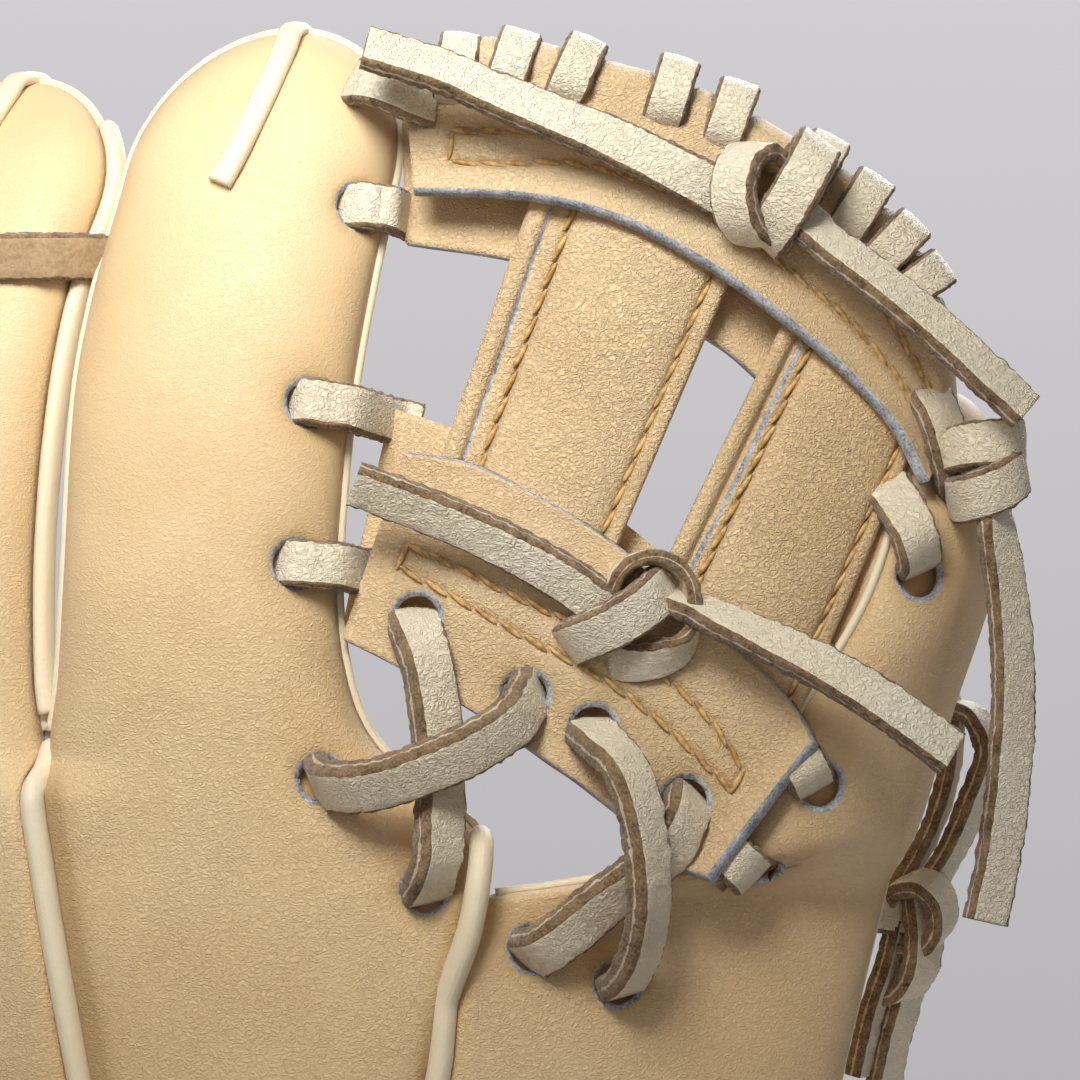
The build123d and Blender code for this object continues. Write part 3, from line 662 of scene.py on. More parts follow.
class Finishes:
    """Every finish on the glove, each made once."""

    def __init__(self) -> None:
        """Builds the materials."""
        self.shell = Leather("shell_leather", "F3D6A6", "E4C08C", 0.44, 0.17, 1250, 0.12, smooth_above=0.185).make()
        self.palm = Leather("palm_leather", "EFD2A4", "E0BC8A", 0.5, 0.13, 1200, 0.14).make()
        self.web = Leather("web_leather", "F1D5A8", "E0BD8B", 0.47, 0.22, 1200, 0.08).make()
        self.post = Leather("post_leather", "EFD2A3", "DDB987", 0.46, 0.28, 1100, 0.05).make()
        self.welt = Leather("welt_leather", "F6E9CB", "EEDDB8", 0.42, 0.03, 1400, 0.06).make()
        self.binding = Leather("binding_leather", "EBCC9E", "DDB988", 0.5, 0.08, 1000, 0.08).make()
        self.lining = Leather("lining_leather", "D9B688", "C79E6C", 0.62, 0.07, 1100, 0.14).make()
        self.lace = Leather("lace_grain", "FBF0D6", "EADABA", 0.40, 0.25, 950, 0.22, 420).make()
        self.lace_edge = Suede("lace_edge", "AE9069", "3C2A1A", 1900, 0.6, core="E8D9C2").make()
        self.lace_flesh = Suede("lace_flesh", "C9AE88", "A4855E", 1300, 0.25).make()
        self.cut = Suede("cut_edge", "DDDFE3", "4E5159", 2100, 0.4).make()
        self.flesh = Suede("flesh_side", "CDB389", "B0926A", 1200, 0.15).make()
        self.thread = Thread("thread", "E0BA78", "A87F44").make()
        self.fleece = Suede("fleece", "EFE9DC", "CFC7B6", 420, 0.9).make()
        self.shell_sheet = [self.shell, self.cut, self.flesh]
        self.web_sheet = [self.web, self.cut, self.web]
        self.rawhide = [self.lace, self.lace_edge, self.lace_flesh]


# ---- ways to make a piece


def grid(columns: int, rows: int, place: Callable[[float, float], Vector]) -> Mesh:
    """Makes a sheet: a flat grid whose points go where place says.

    Args:
        columns: cells across.
        rows: cells along.
        place: gives the point, in the pattern, for u across and v along, both 0 to 1.

    Returns:
        The sheet.
    """
    bm = bmesh.new()
    bmesh.ops.create_grid(bm, x_segments=columns, y_segments=rows, size=1.0)
    for vert in bm.verts:
        vert.co = Pattern.world(place((vert.co.x + 1) / 2, (vert.co.y + 1) / 2))
    return bm


def gathered(parts: Iterable[Mesh]) -> Mesh:
    """Puts several meshes into one, and frees them.

    Args:
        parts: the meshes.

    Returns:
        One mesh of them all.
    """
    whole = bmesh.new()
    for part in parts:
        mesh = bpy.data.meshes.new("part")
        part.to_mesh(mesh)
        part.free()
        whole.from_mesh(mesh)
        bpy.data.meshes.remove(mesh)
    return whole


def piece(name: str, bm: Mesh, materials: Sequence[Material],
          merge: float = 0.02) -> Object:
    """Turns a mesh into a piece in the scene, with smooth shading and outward normals.

    Args:
        name: the piece's name.
        bm: its mesh, which is freed.
        materials: its materials, in the order of the faces' indices.
        merge: how near points are merged, in millimetres.

    Returns:
        The piece.
    """
    bmesh.ops.remove_doubles(bm, verts=bm.verts, dist=merge * MM)
    bmesh.ops.recalc_face_normals(bm, faces=bm.faces)
    for one in bm.faces:
        one.smooth = True
    mesh = bpy.data.meshes.new(name)
    bm.to_mesh(mesh)
    bm.free()
    for material in materials:
        mesh.materials.append(material)
    made = bpy.data.objects.new(name, mesh)
    bpy.context.scene.collection.objects.link(made)
    return made


def applied(made: Object) -> Object:
    """Applies a piece's modifiers to its mesh.

    Args:
        made: the piece.

    Returns:
        The same piece.
    """
    bpy.context.view_layer.update()
    result = made.evaluated_get(bpy.context.evaluated_depsgraph_get())
    mesh = bpy.data.meshes.new_from_object(
        result, preserve_all_data_layers=True, depsgraph=bpy.context.evaluated_depsgraph_get())
    old = made.data
    made.modifiers.clear()
    made.data = mesh
    bpy.data.meshes.remove(old)
    mesh.name = made.name
    return made


def turned_out(made: Object, outward: Callable[[Vector], Vector]) -> Object:
    """Turns an open sheet's faces so that they look outward.

    Args:
        made: the sheet.
        outward: gives the way that its face looks at a place in the pattern.

    Returns:
        The same piece.
    """
    bm = bmesh.new()
    bm.from_mesh(made.data)
    side = sum(one.normal.dot(outward(Pattern.of(one.calc_center_median()))) * one.calc_area() for one in bm.faces)
    if side < 0:
        bmesh.ops.reverse_faces(bm, faces=bm.faces)
    bm.to_mesh(made.data)
    bm.free()
    return made


def walled(name: str, bm: Mesh, materials: Sequence[Material],
           outward: Callable[[Vector], Vector], thickness: float) -> Object:
    """Makes a piece of a sheet and gives it its wall, inwards from its faces.

    Args:
        name: the piece's name.
        bm: the sheet, which is freed.
        materials: one material, or those of the face, the cut edge and the inner face.
        outward: gives the way that the face looks at a place in the pattern.
        thickness: the wall in millimetres.

    Returns:
        The piece.
    """
    made = turned_out(piece(name, bm, materials), outward)
    wall = made.modifiers.new("wall", "SOLIDIFY")
    wall.thickness = thickness * MM
    wall.offset = -1.0
    wall.use_even_offset = False
    wall.material_offset_rim = min(1, len(materials) - 1)
    wall.material_offset = min(2, len(materials) - 1)
    return applied(made)


def punched(bm: Mesh, holes: Sequence[tuple[Vector, Vector]], radius: float, cell: float,
            lip: float = 1.0) -> None:
    """Punches round holes in a sheet, before it gets its wall, and bevels their cut edge.

    Args:
        bm: the sheet.
        holes: each hole's middle in the pattern, and its direction.
        radius: the holes' radius in millimetres.
        cell: the length of the sheet's cells, in millimetres.
        lip: the width of the bevelled edge in millimetres, which takes the second material.
    """
    for middle, way in holes:
        centre = Pattern.world(middle)
        axis = way.normalized()

        def flat(vert: bmesh.types.BMVert) -> Vector:
            """Returns a point's place from the hole's axis, across it."""
            off = vert.co - centre
            return off - axis * off.dot(axis)

        near = [v for v in bm.verts if (v.co - centre).length < (radius + 3.5 * cell) * MM]
        border = {v for v in near if v.is_boundary}
        gone = [v for v in near if flat(v).length < (radius - cell * 0.45) * MM]
        bmesh.ops.delete(bm, geom=gone, context="VERTS")
        rim = [v for v in near if v.is_valid and v not in border and v.is_boundary]
        for vert in rim:
            off = flat(vert)
            vert.co += off.normalized() * radius * MM - off
        around = [v for v in near if v.is_valid and v not in rim]
        for _ in range(3):
            bmesh.ops.smooth_vert(bm, verts=around, factor=0.4, use_axis_x=True, use_axis_y=True, use_axis_z=True)
        found = set(rim)
        loop = [e for e in bm.edges if e.is_boundary and not found.isdisjoint(e.verts)]
        for made in bmesh.ops.extrude_edge_only(bm, edges=loop)["geom"]:
            if isinstance(made, bmesh.types.BMVert):
                made.co -= (flat(made).normalized() * lip + axis * lip * 0.7) * MM
            elif isinstance(made, bmesh.types.BMFace):
                made.material_index = 1


class Route:
    """A smooth line through points, with the direction of a strip's width along it."""

    def __init__(self, points: Sequence[Vector | Triple],
                 across: Vector | Sequence[Vector], step: float = 0.8) -> None:
        """Rounds the line off and divides it evenly.

        Args:
            points: the points it passes through.
            across: the direction of the width, one for all points or one for each.
            step: the distance between its places, in millimetres.
        """
        knots = [Vector(p) for p in points]
        ways = [Vector(across)] * len(knots) if isinstance(across, (Vector, tuple)) else [Vector(a) for a in across]
        dense = [self._between(knots, i + t / 16) for i in range(len(knots) - 1) for t in range(16)]
        dense.append((len(knots) - 1, knots[-1]))
        lengths = [0.0]
        for (_, a), (_, b) in zip(dense, dense[1:]):
            lengths.append(lengths[-1] + (b - a).length)
        self.length = lengths[-1]
        count = max(2, round(self.length / step))
        self.places: list[Vector] = []
        self.widths: list[Vector] = []
        k = 0
        for i in range(count + 1):
            want = self.length * i / count
            while k < len(dense) - 2 and lengths[k + 1] < want:
                k += 1
            part = (want - lengths[k]) / max(lengths[k + 1] - lengths[k], 1e-9)
            at = dense[k][0] + (dense[k + 1][0] - dense[k][0]) * part
            self.places.append(dense[k][1].lerp(dense[k + 1][1], part))
            low = min(int(at), len(ways) - 2)
            self.widths.append(ways[low].lerp(ways[low + 1], smooth_step(at - low)).normalized())

    @staticmethod
    def _between(knots: Sequence[Vector], at: float) -> tuple[float, Vector]:
        """Reads the curve through the knots.

        Args:
            knots: the points it passes through.
            at: the place, counted in knots.

        Returns:
            The place and its point.
        """
        i = min(int(at), len(knots) - 2)
        p1, p2 = knots[i], knots[i + 1]
        p0 = knots[i - 1] if i else p1 * 2 - p2
        p3 = knots[i + 2] if i + 2 < len(knots) else p2 * 2 - p1
        d = [max((b - a).length, 1e-6) ** 0.5 for a, b in ((p0, p1), (p1, p2), (p2, p3))]
        m1 = ((p1 - p0) / d[0] - (p2 - p0) / (d[0] + d[1]) + (p2 - p1) / d[1]) * d[1]
        m2 = ((p2 - p1) / d[1] - (p3 - p1) / (d[1] + d[2]) + (p3 - p2) / d[2]) * d[1]
        t = at - i
        return at, (p1 * (2 * t**3 - 3 * t**2 + 1) + m1 * (t**3 - 2 * t**2 + t)
                    + p2 * (3 * t**2 - 2 * t**3) + m2 * (t**3 - t**2))

    def along(self, i: int) -> Vector:
        """Returns the line's direction at its i-th place."""
        return (self.places[min(i + 1, len(self.places) - 1)] - self.places[max(i - 1, 0)]).normalized()


class Side(Enum):
    """The sides of a flat strip, as material indices."""

    GRAIN = 0
    EDGE = 1
    FLESH = 2


@dataclass(frozen=True)
class Strip:
    """The section of a flat strip with rounded corners, and how rough its sides are."""

    width: float
    thickness: float
    corner: float = 0.55
    crown: float = 0.0
    rough_edge: float = 0.0
    rough_face: float = 0.0
    faces: int = 7
    taper: float = 0.0

    def ring(self) -> list[tuple[float, float, Side]]:
        """Returns the section's points, each with the side that starts there."""
        w, h, r = self.width / 2, self.thickness / 2, self.corner
        c = r * (1 - math.sqrt(0.5))
        found = []
        for k in range(self.faces + 1):
            a = -(w - r) + 2 * (w - r) * k / self.faces
            found.append((a, h + self.crown * (1 - (a / w) ** 2), Side.GRAIN))
        found[-1] = (*found[-1][:2], Side.EDGE)
        edge = [(w - c, h - c), (w, h - r), (w, 0.0), (w, r - h), (w - c, c - h)]
        found += [(a, b, Side.EDGE) for a, b in edge]
        found += [((w - r) * (1 - 2 * k / 4), -h, Side.FLESH) for k in range(5)]
        found[-1] = (*found[-1][:2], Side.EDGE)
        return found + [(-a, -b, Side.EDGE) for a, b in edge]

    def sweep(self, route: Route, outward: Vector, seed: float = 0.0) -> Mesh:
        """Draws the section along a route.

        Args:
            route: the line that it follows.
            outward: the way its grain side looks at the middle of the route.
            seed: a number that sets this strip's roughness apart from others.

        Returns:
            The closed strip.
        """
        ring = self.ring()
        count = len(ring)
        last = len(route.places) - 1
        middle = route.along(last // 2).cross(route.widths[last // 2])
        turn = 1.0 if middle.dot(Vector(outward)) >= 0 else -1.0
        frames = []
        for i, place in enumerate(route.places):
            along = route.along(i)
            wide = (route.widths[i] - along * route.widths[i].dot(along)).normalized()
            frames.append((place, wide, along.cross(wide) * turn))

        def spot(u: float, v: float) -> Vector:
            """Finds the point of the strip at a place round its section and along it."""
            i, j = round(v * last), round(u * count) % count
            place, wide, up = frames[i]
            a, b, side = ring[j]
            near = min(i, last - i) / max(1.0, last * 0.5)
            narrow = 1.0 - self.taper * (1 - smooth_step(near * 3))
            rough = self.rough_face if side is Side.GRAIN else self.rough_edge
            at = place * 0.55 + Vector((seed * 17.3, a * 0.35, b * 0.6))
            swell = 1 + rough * noise.noise(at) / max(self.thickness / 2, 0.1)
            wave = 1 + 0.035 * noise.noise(place * 0.11 + Vector((seed * 5.1, 0, 0))) * (self.rough_edge > 0)
            return place + wide * (a * narrow * wave * (1 + rough * 0.25 * noise.noise(at * 1.9))) + up * (b * swell)

        bm = bmesh.new()
        core = bm.verts.layers.float.new("core")
        bmesh.ops.create_grid(bm, x_segments=count, y_segments=last, size=1.0)
        for one in bm.faces:
            one.material_index = ring[int((one.calc_center_median().x + 1) / 2 * count) % count][2].value
        for vert in bm.verts:
            vert[core] = float(ring[round((vert.co.x + 1) / 2 * count) % count][1] == 0.0)
            vert.co = Pattern.world(spot((vert.co.x + 1) / 2, (vert.co.y + 1) / 2))
        bmesh.ops.remove_doubles(bm, verts=bm.verts, dist=0.004 * MM)
        rims = [e for e in bm.edges if e.is_boundary]
        for cap in bmesh.ops.holes_fill(bm, edges=rims, sides=0)["faces"]:
            cap.material_index = Side.EDGE.value
        bmesh.ops.recalc_face_normals(bm, faces=bm.faces)
        return bm


LACE = Strip(8.2, 3.2, 0.6, 0.12, 0.42, 0.16)
LOOP = Strip(7.2, 2.4, 0.55, 0.25, 0.34, 0.14)
CROTCH_LACE = Strip(9.2, 4.2, 0.8, 0.15, 0.42, 0.2)


def stitches(lines: Sequence[Sequence[Vector]], pitch: float = 4.9, length: float = 5.0,
             radius: float = 0.50, slant: float = 0.16) -> Mesh:
    """Sews rows of stitches on the glove's back.

    Args:
        lines: each row's line.
        pitch: the distance from stitch to stitch.
        length: one stitch's length.
        radius: the thread's radius.
        slant: how far a stitch turns from its row, as a slope.

    Returns:
        The stitches.
    """
    bm = bmesh.new()
    for line in lines:
        route = Route(line, BACKWARDS, 0.5)
        count = max(1, round(route.length / pitch))
        for k in range(count):
            i = round((k + 0.5) / count * (len(route.places) - 1))
            run, up = route.along(i), route.widths[i]
            up = (up - run * up.dot(run)).normalized()
            side = run.cross(up)
            run = (run + side * slant).normalized()
            side = run.cross(up).normalized()
            place = Pattern.world(route.places[i] + up * radius * 0.35)
            axes = Matrix((up, side, run)).transposed().to_4x4()
            scale = Matrix.Diagonal((radius * MM, radius * MM, length * 0.5 * MM, 1))
            bmesh.ops.create_uvsphere(
                bm, u_segments=8, v_segments=8, radius=1.0, matrix=Matrix.Translation(place) @ axes @ scale)
    return bm


def pressed(p: Vector, holes: Sequence[Vector], radius: float) -> float:
    """Returns the painted shade at a place, by how deep in the pressed rim of the nearest lace hole it lies."""
    return max([0.0] + [0.45 * math.exp(-max(0.0, (p - hole).length - radius) / 1.7) for hole in holes])


def shade(bm: Mesh, name: str, value: Callable[[Vector], float]) -> None:
    """Stores a number on every point of a mesh, for its material to read.

    Args:
        bm: the mesh.
        name: the attribute's name.
        value: gives the number for a point in the pattern.
    """
    layer = bm.verts.layers.float.get(name) or bm.verts.layers.float.new(name)
    for vert in bm.verts:
        vert[layer] = min(max(value(Pattern.of(vert.co)), 0.0), 1.0)


def ride(made: Object, body: str, slot: str, *nodes: str) -> Object:
    """Puts a piece on a body.

    Args:
        made: the piece.
        body: the body that it rides on.
        slot: not used.
        nodes: the frame's nodes that it stands for.

    Returns:
        The same piece.
    """
    if nodes:
        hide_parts(*nodes)
    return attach(made, body)


@dataclass(frozen=True)
class Bend:
    """Where a piece bends between the finger side and the thumb side, in the pattern."""

    middle: Vector
    across: Vector
    reach: float        # half the length over which it bends, in millimetres


FOLD_AT_SEAM = Bend(Vector((21.5, 8, 81)), Vector((0.98, 0, -0.2)), 12.0)
FOLD_AT_WEB = Bend(Vector((33, 20.5, 124)), Vector((0.9158, 0, -0.3938)), 9.0)


def crosses(made: Object, nodes: Sequence[str], bend: Bend) -> Object:
    """Hides the frame's nodes that a piece stands for and bakes its place into its mesh.

    Args:
        made: the piece.
        nodes: the frame's nodes that it stands for.
        bend: the place of a bend between the two sides; the ends worked out from it go to bake_transform, which
            ignores them.

    Returns:
        The same piece.
    """
    if nodes:
        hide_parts(*nodes)
    way = bend.across.normalized() * bend.reach
    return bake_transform(made, FINGER_SIDE, THUMB_SIDE, start=tuple(Pattern.world(bend.middle - way)),
                    end=tuple(Pattern.world(bend.middle + way)))


# ---- the shell


def height_at(share: float, low: float, tip: float) -> float:
    """Turns the way up to a tip into a height, with even rows over the tip's dome.

    Args:
        share: the way up, from 0 to 1.
        low: the height at 0.
        tip: the height at 1.

    Returns:
        The height.
    """
    straight = tip - Pattern.DOME - low
    part = straight / (straight + Pattern.DOME * math.pi / 2)
    if share <= part:
        return low + straight * share / part
    return tip - Pattern.DOME + Pattern.DOME * math.sin((share - part) / (1 - part) * math.pi / 2 * 0.995)


@dataclass(frozen=True)
class HandOpening:
    """The arched opening in the back that the hand goes in through."""

    x: float = -8.0
    z: float = 14.0
    radius: float = 56.0
    left: float = -64.0
    right: float = 48.0

    def inside(self, p: Vector, margin: float = 0.0) -> bool:
        """Says whether a place in the pattern lies in the opening, grown by a margin."""
        if p.z < self.z:
            return self.left - margin < p.x < self.right + margin
        return math.hypot(p.x - self.x, p.z - self.z) < self.radius + margin

    def cut(self, bm: Mesh, cell: float) -> None:
        """Opens a sheet and draws its new edge onto the arch.

        Args:
            bm: the sheet.
            cell: the length of its cells, in millimetres.
        """
        back = {v: Pattern.of(v.co) for v in bm.verts}
        gone = [v for v, p in back.items() if self.inside(p, -cell * 0.5)]
        bmesh.ops.delete(bm, geom=gone, context="VERTS")
        for vert in bm.verts:
            p = Pattern.of(vert.co)
            if not self.inside(p, cell * 0.6) or not any(e.is_boundary for e in vert.link_edges):
                continue
            if p.z < self.z:
                p.x = self.left if p.x < self.x else self.right
            else:
                away = Vector((p.x - self.x, 0, p.z - self.z)).normalized() * self.radius
                p.x, p.z = self.x + away.x, self.z + away.z
            vert.co = Pattern.world(p)

    def arc(self, extra: float, count: int, low: float = 0.0, high: float = 180.0) -> list[tuple[float, float]]:
        """Returns places along the arch, from the pinky side to the thumb side.

        Args:
            extra: how far outside the arch they lie.
            count: the number of steps.
            low: the angle of the last one, in degrees.
            high: the angle of the first one.

        Returns:
            The places, as x and z.
        """
        found = []
        for k in range(count + 1):
            a = math.radians(high + (low - high) * k / count)
            found.append((self.x + (self.radius + extra) * math.cos(a), self.z + (self.radius + extra) * math.sin(a)))
        return found


@dataclass
class FingerBacks:
    """The five leather panels of the glove's back."""

    finishes: Finishes
    opening: HandOpening = field(default_factory=HandOpening)
    leather: float = 2.6
    seam_gap: float = 2.0
    seam_roll: float = 1.7
    roll_over: float = 3.2
    wave: float = 0.35
    hole_radius: float = 4.7
    dimple: float = 1.1
    dimple_reach: float = 6.5
    columns: dict[Digit, int] = field(default_factory=lambda: {
        Digit.PINKY: 26, Digit.RING: 26, Digit.MIDDLE: 40, Digit.INDEX: 56, Digit.THUMB: 64})
    index_holes: Edge = (
        (9.5, 232.6), (0.9, 198.2), (-1.4, 170.4), (3, 133.5), (20.9, 114.8))
    thumb_holes: Edge = (
        (39.3, 104.2), (54.2, 97.7), (78.6, 116.2), (89.4, 131.8), (106.7, 168.2), (113.6, 184.2))

    def dent(self, p: Vector, holes: Sequence[Vector]) -> float:
        """Returns how far the leather dips towards the lace holes near a place."""
        return sum(self.dimple * bell((p - hole).length, self.dimple_reach) for hole in holes)

    def build(self, digit: Digit) -> Object:
        """Makes one panel.

        Args:
            digit: the digit that it covers.

        Returns:
            The panel.
        """
        places = {Digit.INDEX: self.index_holes, Digit.THUMB: self.thumb_holes}.get(digit, ())
        holes = [Pattern.at(digit, x, z) for x, z in places]
        shift = float(list(Digit).index(digit)) * 9.0

        def spot(u: float, v: float) -> Vector:
            """Finds the panel's point at a place across and along it."""
            z = height_at(v, 0.0, DIGITS[digit].tip)
            cut = Pattern.section(digit, z)
            half = max(cut.half_width, 0.5)
            gaps = [min(self.seam_gap * k / half, 0.9) for k in (cut.joined_left, cut.joined_right)]
            t = math.sin((u * 2 - 1) * math.pi / 2) * 0.62 + (u * 2 - 1) * 0.38
            s = (t + 1) / 2 * (2 - gaps[0] - gaps[1]) - 1 + gaps[0]
            p = Pattern.place(digit, s, z)
            sunk = 0.0
            for edge, joined in ((s + 1 - gaps[0], cut.joined_left), (1 - gaps[1] - s, cut.joined_right)):
                far = edge * half
                if joined > 0 and far < self.roll_over:
                    sunk += joined * self.seam_roll * (1 - math.sqrt(max(0.0, 1 - (1 - far / self.roll_over) ** 2)))
            if cut.dome > 0.3:
                sunk += self.dent(p, holes) * cut.dome
            fade = cut.dome * min(1.0, (1 - abs(s)) * 5)
            rise = self.wave * fade * (noise.noise(p * 0.028 + Vector((shift, 0, 0)))
                                       + 0.45 * noise.noise(p * 0.075 + Vector((0, shift, 0))))
            return p + Pattern._out(digit, cut, s, z) * (rise - sunk)

        cell = 1.0 if digit in (Digit.INDEX, Digit.THUMB, Digit.MIDDLE) else 1.9
        rows = round((DIGITS[digit].tip + 14) / cell)
        bm = grid(self.columns[digit], rows, spot)
        bmesh.ops.remove_doubles(bm, verts=bm.verts, dist=0.05 * MM)
        self.opening.cut(bm, cell)
        ways = [Pattern.normal(digit, Pattern.across(digit, x, z), z) for x, z in places]
        punched(bm, list(zip(holes, ways)), self.hole_radius, cell)
        order = list(Digit)
        place = order.index(digit)

        def fold_shade(p: Vector) -> float:
            """Returns the painted shade at a point, by how deep in a seam, an edge or a dimple it lies."""
            cut = Pattern.section(digit, min(max(p.z, 0.0), DIGITS[digit].tip - 0.5))
            near = []
            for end, joined, on in ((cut.left, cut.joined_left, place > 0), (cut.right, cut.joined_right, place < 4)):
                far = math.hypot(p.x - end.x, p.z - end.z)
                near.append((joined * on) * 0.75 * math.exp(-max(0.0, far - self.seam_gap) / 1.5))
                near.append((1 - joined) * 0.35 * math.exp(-far / 1.6))
            return max(*near, pressed(p, holes, self.hole_radius))

        shade(bm, "fold_shade", fold_shade)
        made = walled(f"{digit.value}_back", bm, self.finishes.shell_sheet, lambda p: Vector((0, -1, 0.2)),
                      self.leather)
        if digit in (Digit.INDEX, Digit.THUMB):
            return crosses(made, [f"{digit.value}_back_panel"], FOLD_AT_SEAM)
        return ride(made, FINGER_SIDE, "shell_leather", f"{digit.value}_back_panel")


@dataclass
class Palm:
    """The one-piece palm leather, from the heel to the fingertips."""

    finishes: Finishes
    leather: float = 2.6
    level: float = 138.0
    low_rows: int = 84
    high_rows: int = 76
    columns: int = 26
    wave: float = 0.45

    def height(self, digit: Digit, v: float) -> float:
        """Turns the way up, 0 to 1, into a height; up to the crotches all digits share their rows."""
        share = self.low_rows / (self.low_rows + self.high_rows)
        if v <= share:
            return self.level * v / share
        return height_at((v - share) / (1 - share), self.level, DIGITS[digit].tip)

    def front(self, digit: Digit, face: Face, inset: Inset, lift: float = 0.0) -> Mesh:
        """Makes one digit's part of a layer.

        Args:
            digit: the digit.
            face: the face that it covers.
            inset: how far inside the shell it lies.
            lift: how far outside that it lies.

        Returns:
            The sheet.
        """
        def spot(u: float, v: float) -> Vector:
            """Finds the sheet's point at a place across and along it."""
            z = self.height(digit, v)
            s = math.sin((u * 2 - 1) * math.pi / 2) * 0.6 + (u * 2 - 1) * 0.4
            z = min(z, DIGITS[digit].tip - inset.tip - 0.02)
            p = Pattern.place(digit, s, z, face, lift, inset)
            cut = Pattern.section(digit, z, inset)
            rise = self.wave * cut.dome * min(1.0, 0.2 + (1 - abs(s)) * 3) * noise.noise(p * 0.03)
            return p + cut.out * (face.value * rise)

        return grid(self.columns, self.low_rows + self.high_rows, spot)

    def build(self) -> Object:
        """Makes the palm leather."""
        bm = gathered(self.front(digit, Face.PALM, NO_INSET) for digit in Digit)
        bmesh.ops.remove_doubles(bm, verts=bm.verts, dist=0.25 * MM)
        shade(bm, "fold_shade", lambda p: 0.0)
        made = walled("palm", bm, [self.finishes.palm, self.finishes.cut, self.finishes.flesh],
                      lambda p: Vector((0, 1, 0.1)), self.leather)
        return crosses(made, ["palm_leather_finger_side", "palm_leather_thumb_side"], FOLD_AT_SEAM)


@dataclass
class Lining:
    """The thin leather glove inside the shell, with the loops that hold the little finger and thumb."""

    finishes: Finishes
    palm: Palm
    opening: HandOpening = field(default_factory=HandOpening)
    inset: Inset = field(default_factory=lambda: Inset(4.1, 3.4, 6.8, 6.5))
    leather: float = 1.4
    middle_depth: float = 14.0
    felt_inset: Inset = field(default_factory=lambda: Inset(4.0, 3.2, 3.4, 6.4))
    felt_span: tuple[float, float] = (10.0, 102.0)
    felt_thick: float = 2.6

    def build(self) -> Object:
        """Makes the lining."""
        back = gathered(self.palm.front(digit, Face.BACK, self.inset) for digit in Digit)
        self.opening.cut(back, 1.6)
        bm = gathered([back, gathered(self.palm.front(digit, Face.PALM, self.inset) for digit in Digit)])
        bmesh.ops.remove_doubles(bm, verts=bm.verts, dist=0.25 * MM)
        shade(bm, "fold_shade", lambda p: 0.0)
        made = walled("lining", bm, [self.finishes.lining],
                      lambda p: BACKWARDS if p.y < self.middle_depth else PALMWARDS, self.leather)
        return crosses(made, ["lining_finger_side", "lining_thumb_side"], FOLD_AT_SEAM)

    def felt(self) -> None:
        """Makes the felt pad between the palm leather and the lining."""
        bm = gathered(self.palm.front(digit, Face.PALM, self.felt_inset) for digit in Digit)
        bmesh.ops.remove_doubles(bm, verts=bm.verts, dist=0.25 * MM)
        low, high = self.felt_span
        gone = [v for v in bm.verts if not low < v.co.z / MM < high]
        bmesh.ops.delete(bm, geom=gone, context="VERTS")
        made = walled("felt_palm_pad", bm, [self.finishes.fleece], lambda p: Vector((0, 1, 0.1)), self.felt_thick)
        crosses(made, ["palm_pad", "thumb_pad"], FOLD_AT_SEAM)

    def loops(self) -> None:
        """Makes the two loops."""
        for digit, s, z, body in ((Digit.PINKY, 0.5, 96, FINGER_SIDE), (Digit.THUMB, -0.45, 92, THUMB_SIDE)):
            inset = Inset(5.5, 7.8, 9.2)
            near = Pattern.place(digit, s, z, Face.BACK, 0.0, inset)
            far = Pattern.place(digit, s, z, Face.PALM, 0.0, inset)
            cut = Pattern.section(digit, z)
            side = cut.chord * math.copysign(1.6, s)
            route = Route([near, near.lerp(far, 0.3) + side, near.lerp(far, 0.7) + side, far], UPWARDS)
            bm = Strip(16.0, 1.6, 0.6, 0.1, 0.2, 0.1).sweep(route, side, s)
            made = piece(
                f"{digit.value}_inner_loop", bm, [self.finishes.lining, self.finishes.flesh, self.finishes.flesh])
            ride(made, body, "lining_leather", f"{digit.value}_loop")


